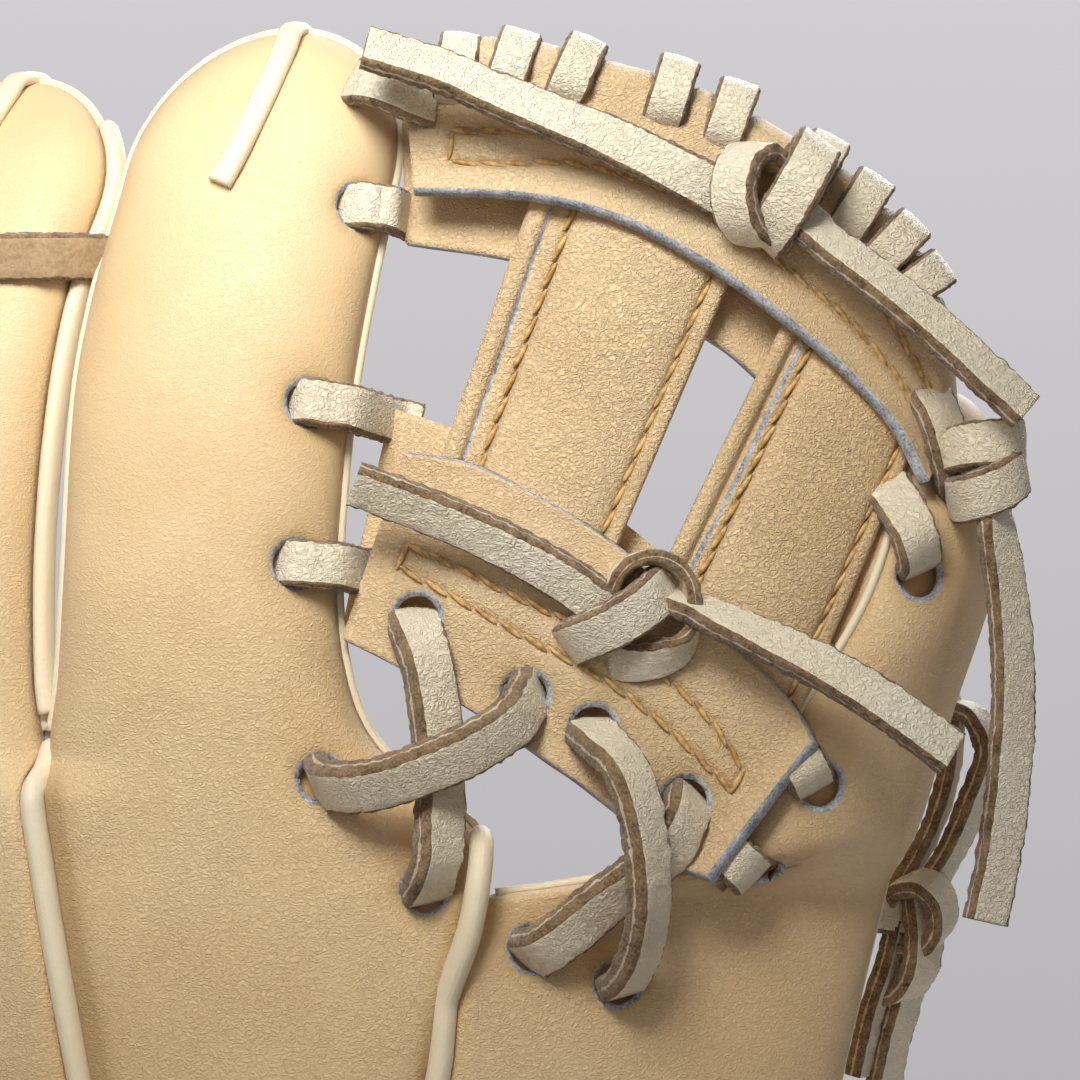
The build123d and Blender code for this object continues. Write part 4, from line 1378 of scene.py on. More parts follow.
@dataclass
class Welting:
    """The cream piping between the back panels, along the fingers' edges and over their tips."""

    finishes: Finishes
    proud: float = 2.2
    crotch_rise: tuple[Triple, ...] = (
        (28, -6.2, 106), (29.2, -6.6, 111), (29.9, -6.2, 115.5), (30.3, -4.9, 119), (30.4, -2.2, 121.6),
        (30.2, 1.2, 122.6))
    seam: Strip = field(default_factory=lambda: Strip(4.3, 4.8, 1.7, 0.35, 0.05, 0.06, 4))
    side: Strip = field(default_factory=lambda: Strip(2.9, 4.4, 1.25, 0.2, 0.05, 0.05, 4))
    tip: Strip = field(default_factory=lambda: Strip(4.4, 2.2, 0.9, 0.35, 0.05, 0.05, 4))
    edge: Strip = field(default_factory=lambda: Strip(1.5, 1.9, 0.6, 0.1, 0.04, 0.03, 3))

    def dressed(self, name: str, bm: Mesh, body: str | None, *nodes: str) -> Object:
        """Turns a strip into a piece of welting, which rides on its body if it has one.

        Args:
            name: the piece's name.
            bm: the strip.
            body: the body that it rides on, if it has one.
            nodes: the frame's nodes that it stands for.

        Returns:
            The piece.
        """
        made = piece(name, bm, [self.finishes.welt] * 3, 0.004)
        if body is None:
            return crosses(made, nodes, FOLD_AT_SEAM)
        return ride(made, body, "welt_leather", *nodes)

    def seams(self) -> None:
        """Makes the welts in the seams between the panels."""
        for name, digit, top, low, body in (
                ("pinky_ring", Digit.RING, 128, 54, FINGER_SIDE), ("ring_middle", Digit.MIDDLE, 134, 72, FINGER_SIDE),
                ("middle_index", Digit.INDEX, 139, 69, FINGER_SIDE), ("index_thumb", Digit.THUMB, 113, 69, None)):
            points, across = [], []
            for k in range(19):
                z = low + (top - 1.5 - low) * k / 18
                cut = Pattern.section(digit, z)
                out = Pattern._out(digit, cut, -1.0, z)
                end = smooth_step((18 - k) / 1.2)
                points.append(Pattern.place(digit, -1.0, z) + out * (self.proud - 2.6 - 1.2 * (1 - end)))
                across.append(Vector((-out.y, out.x, 0)))
            if digit is Digit.THUMB:
                points = [p for p in points if p.z < 97] + [Vector(p) for p in self.crotch_rise]
                across = across[:1] * len(points)
            bm = self.seam.sweep(Route(points, across, 1.0), BACKWARDS)
            self.dressed(f"{name}_piping", bm, body, f"{name}_welt")

    def sides(self) -> None:
        """Makes the welts along the right edges of three fingers."""
        for digit, low in ((Digit.PINKY, 134), (Digit.RING, 140), (Digit.MIDDLE, 144)):
            top = DIGITS[digit].tip - 9
            points, across = [], []
            for k in range(31):
                z = low + (top - low) * k / 30
                cut = Pattern.section(digit, z)
                chord = cut.chord
                points.append(cut.right + chord * 1.5)
                across.append(chord)
            bm = self.side.sweep(Route(points, across, 1.0), BACKWARDS)
            self.dressed(f"{digit.value}_edge_piping", bm, FINGER_SIDE, f"{digit.value}_side_welt")

    def tips(self) -> None:
        """Makes the short welts over the fingertips."""
        for digit in (Digit.PINKY, Digit.RING, Digit.MIDDLE, Digit.INDEX):
            tip = DIGITS[digit].tip
            points = []
            for down, s, face in ((28, -0.16, 1), (22, -0.08, 1), (14, 0, 1), (8, 0.06, 1), (4, 0.1, 1),
                                  (1.6, 0.12, 1), (1.6, 0.12, -1), (5, 0.1, -1), (12, 0.08, -1)):
                cut = Pattern.section(digit, tip - down)
                steep = min(1.0, down / 16)
                away = cut.out * (face * 0.9 * steep) + Vector((0, 0, 1.6 * (1 - steep)))
                points.append(Pattern.place(digit, s, tip - down, Face(face)) + away)
            cut = Pattern.section(digit, tip - 20)
            route = Route(points, cut.chord, 0.8)
            bm = self.tip.sweep(route, UPWARDS)
            self.dressed(f"{digit.value}_tip_piping", bm, FINGER_SIDE, f"{digit.value}_tip_welt")

    def edges(self) -> None:
        """Makes the thin sewn edge where each digit's back meets its palm."""
        for digit, low_left, low_right in ((Digit.PINKY, 6, 130), (Digit.RING, 130, 137), (Digit.MIDDLE, 137, 141),
                                           (Digit.INDEX, 141, 122), (Digit.THUMB, 113, 6)):
            tip = DIGITS[digit].tip
            points, across = [], []
            for left, low in ((True, low_left), (False, low_right)):
                run = []
                for k in range(60):
                    t = k / 59
                    z = low + (tip - Pattern.DOME - low) * min(1.0, t * 1.25)
                    if t > 0.8:
                        z = tip - Pattern.DOME + Pattern.DOME * math.sin((t - 0.8) * 5 * math.pi / 2 * 0.985)
                    cut = Pattern.section(digit, z)
                    chord = cut.chord
                    run.append((cut.left if left else cut.right, cut.out, chord))
                if not left:
                    run.reverse()
                points += [p for p, _, _ in run]
                across += [out for _, out, _ in run]
            bm = self.edge.sweep(Route(points, across, 1.2), UPWARDS)
            self.dressed(f"{digit.value}_sewn_edge", bm, None if digit in (Digit.INDEX, Digit.THUMB) else FINGER_SIDE)


# ---- the web


class Curve:
    """A smooth line in the web, seen from the back, as (x, z) points spaced by their number."""

    def __init__(self, points: Edge) -> None:
        """Keeps the points."""
        self.points = [Vector((x, 0.0, z)) for x, z in points]

    def at(self, share: float) -> Vector:
        """Returns the point at a share of the way along."""
        last = len(self.points) - 1
        return Route._between(self.points, min(max(share, 0.0), 1.0) * last)[1]


TOP_LOW: Edge = ((18.4, 235.6), (40.5, 234.2), (54.3, 230.6), (68.1, 223.6), (81.9, 214.1),
                 (94.1, 203.8), (102.8, 194.3), (108, 184.6))
TOP_HIGH: Edge = (
    (16.5, 258.5), (34, 260.5), (51, 256.5), (69, 251), (84, 243), (98, 233.5), (108.5, 219), (112.5, 192))
FRONT_TOP_LOW: Edge = (
    (17.4, 226), (38.3, 222.3), (60, 214), (72, 207.5), (79, 201.5), (89, 193), (98, 184), (104, 177))
LOW_LOW: Edge = (
    (6.2, 157.4), (14.6, 153.3), (26.5, 146.5), (40.5, 137.5), (49, 131.5), (57.7, 124.4), (64, 118.5), (69, 117))
LOW_HIGH: Edge = (
    (17, 189.5), (28.4, 187.3), (43.9, 179.6), (54.2, 172.7), (68, 160.6), (76.1, 153.8), (84, 146), (87, 140))
FRONT_LOW_HIGH: Edge = (
    (15.2, 197.4), (26, 193.6), (43.9, 185.5), (56, 176.5), (70, 164), (79, 156), (86, 148), (89, 142))
TOP_LOOPS = ((26.1, 257.4, -8), (35.8, 258, -18), (47, 256.8, -24), (63.5, 253.1, -17), (73.8, 249, -19),
             (89, 239.9, -28), (96.6, 233.2, -33), (102.6, 226.2, -44), (107, 219.4, -54))
BAR_HOLES_INDEX = ((19.3, 161), (38, 147.8))
BAR_HOLES_THUMB = ((49.7, 142), (65.5, 129.6))


@dataclass
class Web:
    """The H web: two padded posts between a top bar and a low bar."""

    finishes: Finishes
    leather: float = 2.6
    post_half: float = 2.8
    clear: float = 0.35
    bow: float = 0.6
    hole_radius: float = 4.7
    stitch_dip: float = 0.55
    stitch_reach: float = 0.9
    groove_shade: float = 0.42
    groove_reach: float = 0.8
    post_seams: tuple[float, float] = (0.205, 0.91)
    cut_strip: tuple[float, float] = (0.102, 0.122)
    top_seam: Edge = (
        (25, 240), (34.6, 239.6), (44.1, 239.8), (50.9, 238.6), (59.4, 236), (65.1, 234), (71, 230.8),
        (77, 226.2), (83, 221.6), (89, 216.9), (94.2, 212.3), (98.5, 207.6), (102, 203.4), (105.5, 198), (108, 192))
    top_seam_high: Edge = (
        (25, 245.4), (35, 245.4), (45, 245), (54, 243.2), (62, 240.6), (69.5, 237.2), (77, 232.8), (84, 228),
        (90, 223.6), (95.5, 219.4), (100.3, 214.6), (103.8, 208.6), (107, 203), (109.5, 197.6))
    low_seam: Edge = ((16.1, 169.6), (21.6, 166.7), (30.2, 162), (38.8, 157.2), (47.4, 152.7), (54.2, 148.6),
                      (62, 142.4), (68, 136.8), (73.7, 131.1))
    low_seam_high: Edge = ((17.3, 173.5), (23.3, 171), (30.2, 167.7), (37.1, 164.3), (43.9, 161.2),
                           (50.8, 158), (61.1, 151.4), (69.7, 143.4), (75.4, 135.2))

    @property
    def back(self) -> float:
        """How far the bars' back leather's outer face lies behind the web's middle."""
        return self.post_half + self.clear + self.leather

    @property
    def front(self) -> float:
        """How far the bars' front leather's outer face lies before the web's middle."""
        return self.post_half + self.clear + self.bow + self.leather

    @staticmethod
    def behind(p: Vector) -> bool:
        """Says whether a place lies behind the web's middle surface."""
        return p.y < Pattern.web_y(p.x, p.z)

    @staticmethod
    def point(p: Vector, depth: float) -> Vector:
        """Puts a place seen from the back at a depth from the web's middle surface."""
        return Vector((p.x, Pattern.web_y(p.x, p.z) + depth, p.z))

    def over(self, x: float, z: float, height: float = 0.0) -> Vector:
        """Finds the point a height behind the bars."""
        return Vector((x, Pattern.web_y(x, z) - self.back - height, z))

    def seam_lines(self, *edges: Edge, depth: float) -> list[list[Vector]]:
        """Draws closed stitch lines over a bar from their lower and upper edges.

        Args:
            edges: the lower and the upper line of the stitching.
            depth: the depth that they lie at.

        Returns:
            The stitched lines, with the two short ends.
        """
        lines = []
        for edge in edges:
            curve = Curve(edge)
            lines.append([self.point(curve.at(k / 40), depth) for k in range(41)])
        low, high = lines
        lines.append([low[0].lerp(high[0], k / 4) for k in range(5)])
        lines.append([low[-1].lerp(high[-1], k / 4) for k in range(5)])
        return lines

    @staticmethod
    def distance(p: Vector, lines: Sequence[Sequence[Vector]]) -> float:
        """Returns how near a place is to the nearest of some lines, seen from the back.

        Args:
            p: the place.
            lines: the lines.

        Returns:
            The distance.
        """
        best = 1e9
        for line in lines:
            for a, b in zip(line, line[1:]):
                dx, dz = b.x - a.x, b.z - a.z
                t = min(max(((p.x - a.x) * dx + (p.z - a.z) * dz) / max(dx * dx + dz * dz, 1e-9), 0.0), 1.0)
                best = min(best, math.hypot(p.x - a.x - dx * t, p.z - a.z - dz * t))
        return best

    def groove(self, p: Vector, lines: Sequence[Sequence[Vector]]) -> float:
        """Returns the painted shade at a place, by how deep in the groove of some stitching it lies."""
        return self.groove_shade * bell(self.distance(p, lines), self.groove_reach)

    def puff(self, share: float) -> float:
        """Returns how full the top edge is at a share of its way, least under the lace's loops."""
        here = Curve(TOP_HIGH).at(share)
        near = min(math.hypot(here.x - x, here.z - z) for x, z, _ in TOP_LOOPS)
        return smooth_step((near - 2.4) / 1.9)

    def top_bar(self) -> Object:
        """Makes the top bar, whose leather is folded over the web's top edge."""
        lines = self.seam_lines(self.top_seam, self.top_seam_high, depth=-self.back)
        low, high, front_low = Curve(TOP_LOW), Curve(TOP_HIGH), Curve(FRONT_TOP_LOW)
        radius = (self.back + self.front) / 2
        centre = (self.front - self.back) / 2

        def spot(u: float, v: float) -> Vector:
            """Finds the leather's point at a place along the bar and round it."""
            top = high.at(u)
            full = self.puff(u)
            ahead, before = high.at(min(u + 0.01, 1.0)), high.at(max(u - 0.01, 0.0))
            run = (ahead - before).normalized()
            up = Vector((-run.z, 0, run.x))
            top = top - up * 1.6
            if v < 0.42:
                t = v / 0.42
                p = low.at(u).lerp(top, t)
                flare = 2.2 * math.exp(-(p - low.at(u)).length / 2.6)
                dip = self.stitch_dip * bell(self.distance(p, lines), self.stitch_reach)
                swell = 0.9 * full * smooth_step((t - 0.62) / 0.38)
                wave = 0.45 * noise.noise(p * 0.05) + 0.2 * noise.noise(p * 0.16)
                return self.point(p, -self.back - flare + dip - swell + wave * min(1.0, t * 4))
            if v <= 0.62:
                a = math.pi * ((v - 0.42) / 0.20 - 0.5)
                rise = (1.2 + 2.3 * full) * math.cos(a)
                wide = radius + 0.9 * full * abs(math.sin(a)) ** 2
                return self.point(top + up * rise, centre + wide * math.sin(a))
            t = (v - 0.62) / 0.38
            p = top.lerp(front_low.at(u), t)
            curl = 1.8 * smooth_step((t - 0.72) / 0.28) ** 2
            return self.point(p, self.front + 0.9 * full * smooth_step(1 - t * 3) - curl
                              + 0.4 * noise.noise(p * 0.05 + Vector((0, 9, 0))))

        bm = grid(230, 96, spot)
        # painted shade in the stitch grooves on the bar's back
        shade(bm, "fold_shade", lambda p: self.groove(p, lines) * self.behind(p))
        made = walled("top_bar", bm, self.finishes.web_sheet, lambda p: BACKWARDS if self.behind(p) else PALMWARDS,
                      self.leather - 0.4)
        names = [f"top_bar_{face}_{half}_half" for face in ("back", "front") for half in ("index", "thumb")]
        self.sew("top_bar_stitching", lines)
        return crosses(made, names, FOLD_AT_WEB)

    def sew(self, name: str, lines: Sequence[Sequence[Vector]], dip: float = 0.3) -> Object:
        """Sews the stitches on a bar."""
        sunk = [[p + PALMWARDS * dip for p in line] for line in lines]
        return crosses(piece(name, stitches(sunk), [self.finishes.thread]), (), FOLD_AT_WEB)

    def low_bar(self) -> None:
        """Makes the low bar's back and front leather."""
        lines = self.seam_lines(self.low_seam, self.low_seam_high, depth=-self.back)
        holes = [self.over(x, z) for x, z in BAR_HOLES_INDEX + BAR_HOLES_THUMB]
        low, high = Curve(LOW_LOW), Curve(LOW_HIGH)

        def back(u: float, v: float) -> Vector:
            """Finds the back leather's point at a place along it and up it."""
            p = low.at(u).lerp(high.at(u), v)
            edge = min(v, 1 - v) * (high.at(u) - low.at(u)).length
            dip = self.stitch_dip * bell(self.distance(p, lines), self.stitch_reach)
            lift = 0.9 * math.exp(-edge / 3.5) + 2.6 * math.exp(-(1 - u) * 80 / 5.0)
            wave = 0.5 * noise.noise(p * 0.06 + Vector((3, 0, 0))) + 0.2 * noise.noise(p * 0.17)
            q = self.point(p, -self.back - lift + dip + wave)
            return q + Vector((0, sum(0.9 * bell((q - h).length, 6.0) for h in holes), 0))

        bm = grid(170, 58, back)
        punched(bm, [(h, BACKWARDS) for h in holes], self.hole_radius, 0.7)
        # painted shade in the stitch grooves and round the lace holes' pressed rims
        shade(
            bm, "fold_shade", lambda p: max(self.groove(p, lines), pressed(p, holes, self.hole_radius)))
        made = walled("low_bar_back", bm, [self.finishes.web, self.finishes.cut, self.finishes.flesh],
                      lambda p: BACKWARDS, self.leather)
        crosses(made, ["low_bar_back_index_half", "low_bar_back_thumb_half"], FOLD_AT_WEB)
        self.sew("low_bar_stitching", lines)
        tall = Curve(FRONT_LOW_HIGH)

        def front(u: float, v: float) -> Vector:
            """Finds the front leather's point at a place along it and up it."""
            p = low.at(u).lerp(tall.at(u), v)
            return self.point(p, self.front + 0.4 * noise.noise(p * 0.06 + Vector((7, 0, 0))))

        made = walled("low_bar_front", grid(110, 30, front), self.finishes.web_sheet, lambda p: PALMWARDS,
                      self.leather)
        crosses(made, ["low_bar_front_index_half", "low_bar_front_thumb_half"], FOLD_AT_WEB)

    def post(self, name: str, corners: Edge, body: str) -> None:
        """Makes one stuffed post with its stitched flanges.

        Args:
            name: the frame's node that it stands for.
            corners: its corners: left at the bottom and top, then right at the top and bottom.
            body: the body that it rides on.
        """
        low_left, high_left, high_right, low_right = (Vector((x, 0, z)) for x, z in corners)
        seams = [[low_left.lerp(high_left, k / 30).lerp(low_right.lerp(high_right, k / 30), share) for k in range(31)]
                 for share in self.post_seams]
        half = self.post_half

        def profile(w: float, open_: float) -> float:
            """Returns how far the post's back stands off at a place across it."""
            def round_over(middle: float, reach: float, power: float = 2.0) -> float:
                """Returns a rounded rise from 0 at its reach to 1 at its middle."""
                return math.sqrt(max(0.0, 1 - abs((w - middle) / reach) ** power))

            bead = (0.5 + 0.9 * open_) * round_over(0.050, 0.050)
            step = -0.35 * smooth_step((w - 0.100) / 0.008) * smooth_step((0.132 - w) / 0.008)
            swell = (0.2 + 2.2 * open_) * round_over(0.5625, 0.3475, 2.6)
            groove = -0.5 * (bell(w - 0.215, 0.014) + bell(w - 0.91, 0.014))
            edge = (0.2 + 0.8 * open_) * round_over(0.955, 0.045)
            return half - 0.75 + bead + step + swell + groove + edge

        def spot(u: float, v: float) -> Vector:
            """Finds the post's point at a place round it and along it."""
            open_ = smooth_step(v / 0.16) * smooth_step((1 - v) / 0.16)
            a, b = low_left.lerp(high_left, v), low_right.lerp(high_right, v)
            if u <= 0.72:
                w = u / 0.72
                p = a.lerp(b, w)
                return self.point(p, -profile(w, open_) + 0.15 * noise.noise(p * 0.2))
            w = 1 - (u - 0.72) / 0.28
            round_ = math.sqrt(max(0.0, 1 - abs(2 * w - 1) ** 8))
            return self.point(a.lerp(b, w), -half + 1.6 + (2 * half - 1.6) * round_ + 0.9 * open_ * round_)

        bm = grid(150, 84, spot)
        # painted shade along the post's stitched seams on its back
        shade(bm, "fold_shade", lambda p: 0.55 * bell(self.distance(p, seams), 0.7) * self.behind(p))
        for one in bm.faces:
            p = Pattern.of(one.calc_center_median())
            share = (p.z - low_left.z) / (high_left.z - low_left.z)
            across = low_right - low_left
            at = p - low_left.lerp(high_left, min(max(share, 0), 1))
            w = (at.x * across.x + at.z * across.z) / (across.x ** 2 + across.z ** 2)
            if self.cut_strip[0] < w < self.cut_strip[1] and self.behind(p):
                one.material_index = 1
        bmesh.ops.remove_doubles(bm, verts=bm.verts, dist=0.02 * MM)
        bmesh.ops.holes_fill(bm, edges=[e for e in bm.edges if e.is_boundary], sides=0)
        made = piece(name.replace("_post", "_stuffed_post"), bm, [self.finishes.post, self.finishes.cut])
        ride(made, body, "shell_leather", name)
        lines = [[self.point(p, -half + 0.6) for p in line] for line in seams]
        ride(piece(f"{name}_stitching", stitches(lines), [self.finishes.thread]), body, "rawhide_lace")

    def build(self) -> None:
        """Makes the bars and the posts."""
        self.top_bar()
        self.low_bar()
        self.post("index_post", ((19.5, 178), (43.2, 246), (76.3, 226), (50.6, 165.5)), FINGER_SIDE)
        self.post("thumb_post", ((59, 164.5), (87, 221), (108.5, 197), (84, 141)), THUMB_SIDE)


# ---- the laces


def hole_end(place: Vector, out: Vector, run: Vector) -> list[Vector]:
    """Returns the places of a lace that comes up out of a hole and turns along run."""
    return [place - out * 4.6 - run * 1.0, place - out * 1.2 - run * 0.6, place + out * 1.2 + run * 0.7,
            place + out * 2.5 + run * 3.2, place + out * 2.9 + run * 6.5]


@dataclass
class Lacing:
    """All the rawhide lace of the glove, made of strips with a grain side and brown cut edges."""

    finishes: Finishes
    web: Web
    backs: FingerBacks
    lace: Strip = LACE
    loop: Strip = LOOP

    def strip(self, points: Sequence[Vector | Triple], seed: float,
              across: Vector | Triple | None = None, outward: Vector | None = None,
              form: Strip | None = None, tilt: float | Sequence[float] = 0.0) -> Mesh:
        """Makes one lace.

        Args:
            points: the places that it passes through.
            seed: a number that sets its roughness apart.
            across: the direction of its width; if not given, level with its run in the upright plane.
            outward: the way its grain side looks; if not given, backwards.
            form: its section, if not the usual lace's.
            tilt: how far it is turned about its run, in degrees, to bring its left edge towards outward,
                one for the whole lace or several spread along it.

        Returns:
            The lace.
        """
        run = Vector(points[-1]) - Vector(points[0])
        wide = Vector(across) if across is not None else Vector((-run.z, 0, run.x)).normalized()
        turns = [tilt] * 2 if isinstance(tilt, float) else list(tilt)
        widths = []
        for k in range(len(points)):
            at = k / (len(points) - 1) * (len(turns) - 1)
            low = min(int(at), len(turns) - 2)
            turn = math.radians(turns[low] + (turns[low + 1] - turns[low]) * (at - low))
            widths.append(wide * math.cos(turn) + (outward or BACKWARDS) * math.sin(turn))
        return (form or self.lace).sweep(Route(points, widths, 0.6), outward or BACKWARDS, seed)

    def dressed(self, name: str, parts: Iterable[Mesh], body: str, *nodes: str) -> Object:
        """Turns laces into one piece."""
        return ride(piece(name, gathered(parts), self.finishes.rawhide, 0.002), body, "rawhide_lace", *nodes)

    @staticmethod
    def on(digit: Digit, x: float, z: float) -> tuple[Vector, Vector]:
        """Returns a place on a digit's back and its outward direction, level."""
        s = Pattern.across(digit, x, z)
        out = Pattern.normal(digit, s, z)
        return Pattern.place(digit, s, z), Vector((out.x, out.y, 0)).normalized()

    def web_laces(self) -> None:
        """Makes the laces from the finger's and the thumb's holes into the web's bars."""
        parts = [self.strip([(8.5, 16, 254.6), (11, 9.5, 254), (13.7, 6.2, 252.9), (15.9, 5.6, 251.9),
                             (18.3, 7, 251.1), (21.5, 9.5, 250.2)], 10.0, tilt=-25.0)]
        for k, (hole, (x, z, depth)) in enumerate(zip(self.backs.index_holes, (
                (17.6, 231.4, 9), (16, 195, 9), (11.4, 168.6, 2)))):
            start, out = self.on(Digit.INDEX, *hole)
            end = Vector((x, Pattern.web_y(x, z) + depth, z))
            edge = cubic_along(DIGITS[Digit.INDEX].right, hole[1])[0]
            rim, rim_out = self.on(Digit.INDEX, edge - 2.2, (hole[1] * 2 + end.z) / 3)
            run = (end - start).normalized()
            flat = Vector((run.x, 0, run.z)).normalized()
            parts.append(self.strip([*hole_end(start, out, run)[:4], rim + rim_out * 2.8, end, end + flat * 3.5],
                                    11.0 + k, tilt=(-8, -16, -20, -14)))
        self.dressed("index_side_lacing", parts, FINGER_SIDE, "index_web_lace")
        parts = [self.strip(points, 14.0 + k, tilt=tilt) for k, (points, tilt) in enumerate((
            ([(108.2, 9, 199.5), (109.7, 6.2, 196.1), (111.2, 5.6, 190.9), (112.6, 7.6, 186.6), (113.7, 12.2, 184),
              (114, 16.5, 183)], -38.0),
            ([(100, 9.5, 184.6), (102.2, 6, 181.4), (104, 2, 178), (105.3, 0.4, 174.6), (106, 2.6, 171.8),
              (106.2, 7, 170.4), (106.2, 12, 169.8)], (-6, -18, -34, -25)),
            ([(80.2, 3.6, 146), (82.4, 1.8, 141.6), (84.4, -0.4, 138), (86.2, -1.2, 135), (87.2, 1.4, 133),
              (87.6, 5.5, 132.2), (87.8, 10, 131.8)], (4, -4, -22, -24)),
            ([(69.2, 3.5, 124.6), (72, -0.6, 121.6), (74.2, -2, 119.4), (75.9, -0.2, 117.7), (76.7, 5, 116.7),
              (77, 11, 116.2), (77.2, 16, 115.9)], (2, -6, -22, -22))))]
        self.dressed("thumb_side_lacing", parts, THUMB_SIDE, "thumb_web_lace")

    def crotch(self) -> None:
        """Makes the crossed laces between the low bar and the glove."""
        upright = self.strip(
            [(19.1, 5.7, 160.6), (19.1, 1.5, 159.6), (19.7, -2, 157.2), (20.9, -3.8, 153.8), (22.2, -4.4, 146.2),
             (23.1, -5.2, 136.8), (23.4, -6.8, 128.3), (23, -9, 120.6), (22.2, -8.4, 117.6), (21.3, -4.8, 114.8),
             (20.9, 0.5, 113.4)], 21.0, form=CROTCH_LACE, tilt=(-15, -28, -36, -42, -46, -48, -40))
        slant = self.strip(
            [(3.2, 2.2, 134), (3.3, -2.2, 133), (4.6, -6.8, 132.4), (8.5, -11.2, 132.3), (14, -13.6, 133.2),
             (21.8, -14.6, 136), (30, -12.8, 139.6), (35.6, -8.4, 143.2), (38.2, -3.8, 146.8),
             (38.9, 1, 148.8)], 22.0, form=CROTCH_LACE, tilt=(12, 28, 32, 32, 28, 15))
        self.dressed("crotch_lacing_index", [upright, slant], FINGER_SIDE, "crotch_lace_index")
        bowed = self.strip(
            [(49.4, 1, 141.8), (49.7, -3.4, 140.9), (51.6, -7.2, 139), (54.6, -10.2, 136), (57, -12.2, 130),
             (58.8, -12.8, 120.1), (59, -10.9, 111.3), (57.6, -6.3, 103.6), (55.8, -0.9, 99.4), (54.7, 3, 97.8),
             (54.3, 7.5, 97)], 23.0, form=CROTCH_LACE, tilt=(-20, -36, -48, -54, -58, -58, -50))
        under = self.strip(
            [(66, 2.2, 129.8), (65.9, -2.6, 129), (65, -5.6, 126.2), (62.9, -5.8, 122), (57.5, -3.8, 116.7),
             (52.4, -3.6, 113), (45.8, -4.8, 107.6), (41.6, -4.4, 104.4), (39.4, -1, 103.4), (38.7, 3.6, 102.8)],
            24.0, form=CROTCH_LACE, tilt=(-10, -30, -38, -38, -28, -15))
        self.dressed("crotch_lacing_thumb", [bowed, under], THUMB_SIDE, "crotch_lace_thumb")

    def top_edge(self) -> None:
        """Makes the lace that is whipped over the top of the web."""
        sides: dict[str, list[Mesh]] = {"index": [], "thumb": []}
        deep = self.web.front + 0.35
        for k, (x, z, turn) in enumerate(TOP_LOOPS):
            up = Vector((-math.sin(math.radians(turn)), 0, math.cos(math.radians(turn))))
            edge = Vector((x, Pattern.web_y(x, z), z))
            points = [edge + Vector((0, y, 0)) + up * h for y, h in (
                (-deep + 3.4, -6.6), (-deep + 0.6, -5.6), (-deep - 1.2, -3.6), (-deep - 1.5, -0.8),
                (-deep + 1.0, 3.0), (0, 4.4),
                (deep - 1.0, 2.6), (deep + 1.5, -2.5), (deep + 0.9, -7.4), (deep - 2.2, -9.5))]
            across = Vector((up.z, 0, -up.x))
            owner = "index" if x < Pattern.fold_x(z) else "thumb"
            sides[owner].append(self.strip(points, 31.0 + k, across, UPWARDS, self.loop))
        for owner, parts in sides.items():
            body = FINGER_SIDE if owner == "index" else THUMB_SIDE
            self.dressed(f"top_edge_loops_{owner}", parts, body, f"top_edge_lace_{owner}")

    def hoop(self, middle: Triple, bulge: tuple[float, float], wide: Vector,
             shape: Sequence[tuple[float, float]], seed: float, lean: float = 0.0) -> Mesh:
        """Makes a band of lace that arches over what it ties.

        Args:
            middle: the middle of what it ties.
            bulge: the way it arches out, level, as x and y.
            wide: the direction of its width.
            shape: its places, as heights and how far they stand out.
            seed: a number that sets its roughness apart.
            lean: how far its top leans over per millimetre of height.

        Returns:
            The band.
        """
        out = Vector((bulge[0], bulge[1], 0)).normalized()
        points = [Vector(middle) + out * far + Vector((lean * up, 0, up)) for up, far in shape]
        return self.lace.sweep(Route(points, wide, 0.6), out, seed)

    def knots(self) -> None:
        """Makes the two square knots on the web and their tails."""
        round_ = ((5.2, -1), (7.3, 3.2), (6.4, 7.4), (3.2, 10.4), (-1, 11), (-5, 8.8), (-7.4, 4.2), (-6.4, 0))
        wrap = self.hoop((80, 3, 234), (-0.57, -0.82), Vector((0.82, -0.57, -0.08)), round_, 41.0)
        over = ((5.6, -1), (7.6, 3.4), (5.6, 7.6), (1, 9.8), (-4, 8.4), (-7.4, 4.4), (-8, 0.5))
        band = self.hoop((83.6, 2.2, 234.6), (0.1, -0.99), Vector((0.79, -0.12, -0.61)), over, 42.0, 0.55)
        self.dressed("upper_web_knot", [wrap, band], THUMB_SIDE, "upper_knot")
        self.tied("upper_web_tail_left", self.strip(
            [(10.5, -6.5, 258.8), (23.5, -5.2, 254.9), (35.5, -4, 249.8), (47, -3.2, 245.4), (56.5, -2.4, 241.5),
             (66.3, -1.6, 237), (72.5, -0.2, 234), (76, 1.2, 232.6)], 43.0,
            tilt=(-38, -38, -32, -20, -2, 18, 26)), "upper_left_tail", Vector((69, 0, 236.5)))
        self.dressed("upper_web_tail_right", [self.strip(
            [(80.6, 2.4, 234), (84.6, -1.6, 230.6), (89.6, -4, 225.6), (97.6, -5.4, 219.5), (107.3, -6.2, 211.6),
             (116.7, -6.6, 203), (123.8, -6.4, 196.3)], 44.0,
            tilt=(-20, -44, -46, -42, -40, -44))], THUMB_SIDE, "upper_right_tail")
        band = self.strip(
            [(45.8, -1.5, 156.4), (46.8, -6.4, 157.2), (50.4, -10.6, 158.8), (55, -12.4, 161.2), (59.4, -11, 164.2),
             (61.6, -7, 166.2), (61.8, -2.5, 166.6)], 46.0, (-0.53, 0, 0.85), tilt=22.0)
        arch = self.strip(
            [(52.5, -4.5, 163), (53.2, -6.4, 167.2), (56.4, -7.4, 170.6), (61.2, -7.8, 171.2), (65.2, -7.8, 168.4),
             (66.6, -7.6, 163.6), (66.2, -7.2, 158.6), (63.4, -6.6, 155.2), (57.6, -5.6, 153.4), (52.8, -3.4, 153.8)],
            45.0, (0.1, -1, 0.05), UPWARDS, Strip(7.4, 2.5, 0.6, 0.1, 0.36, 0.16), tilt=(0, 0, 0, 20, 48, 62))
        self.dressed("lower_web_knot", [band, arch], THUMB_SIDE, "lower_knot")
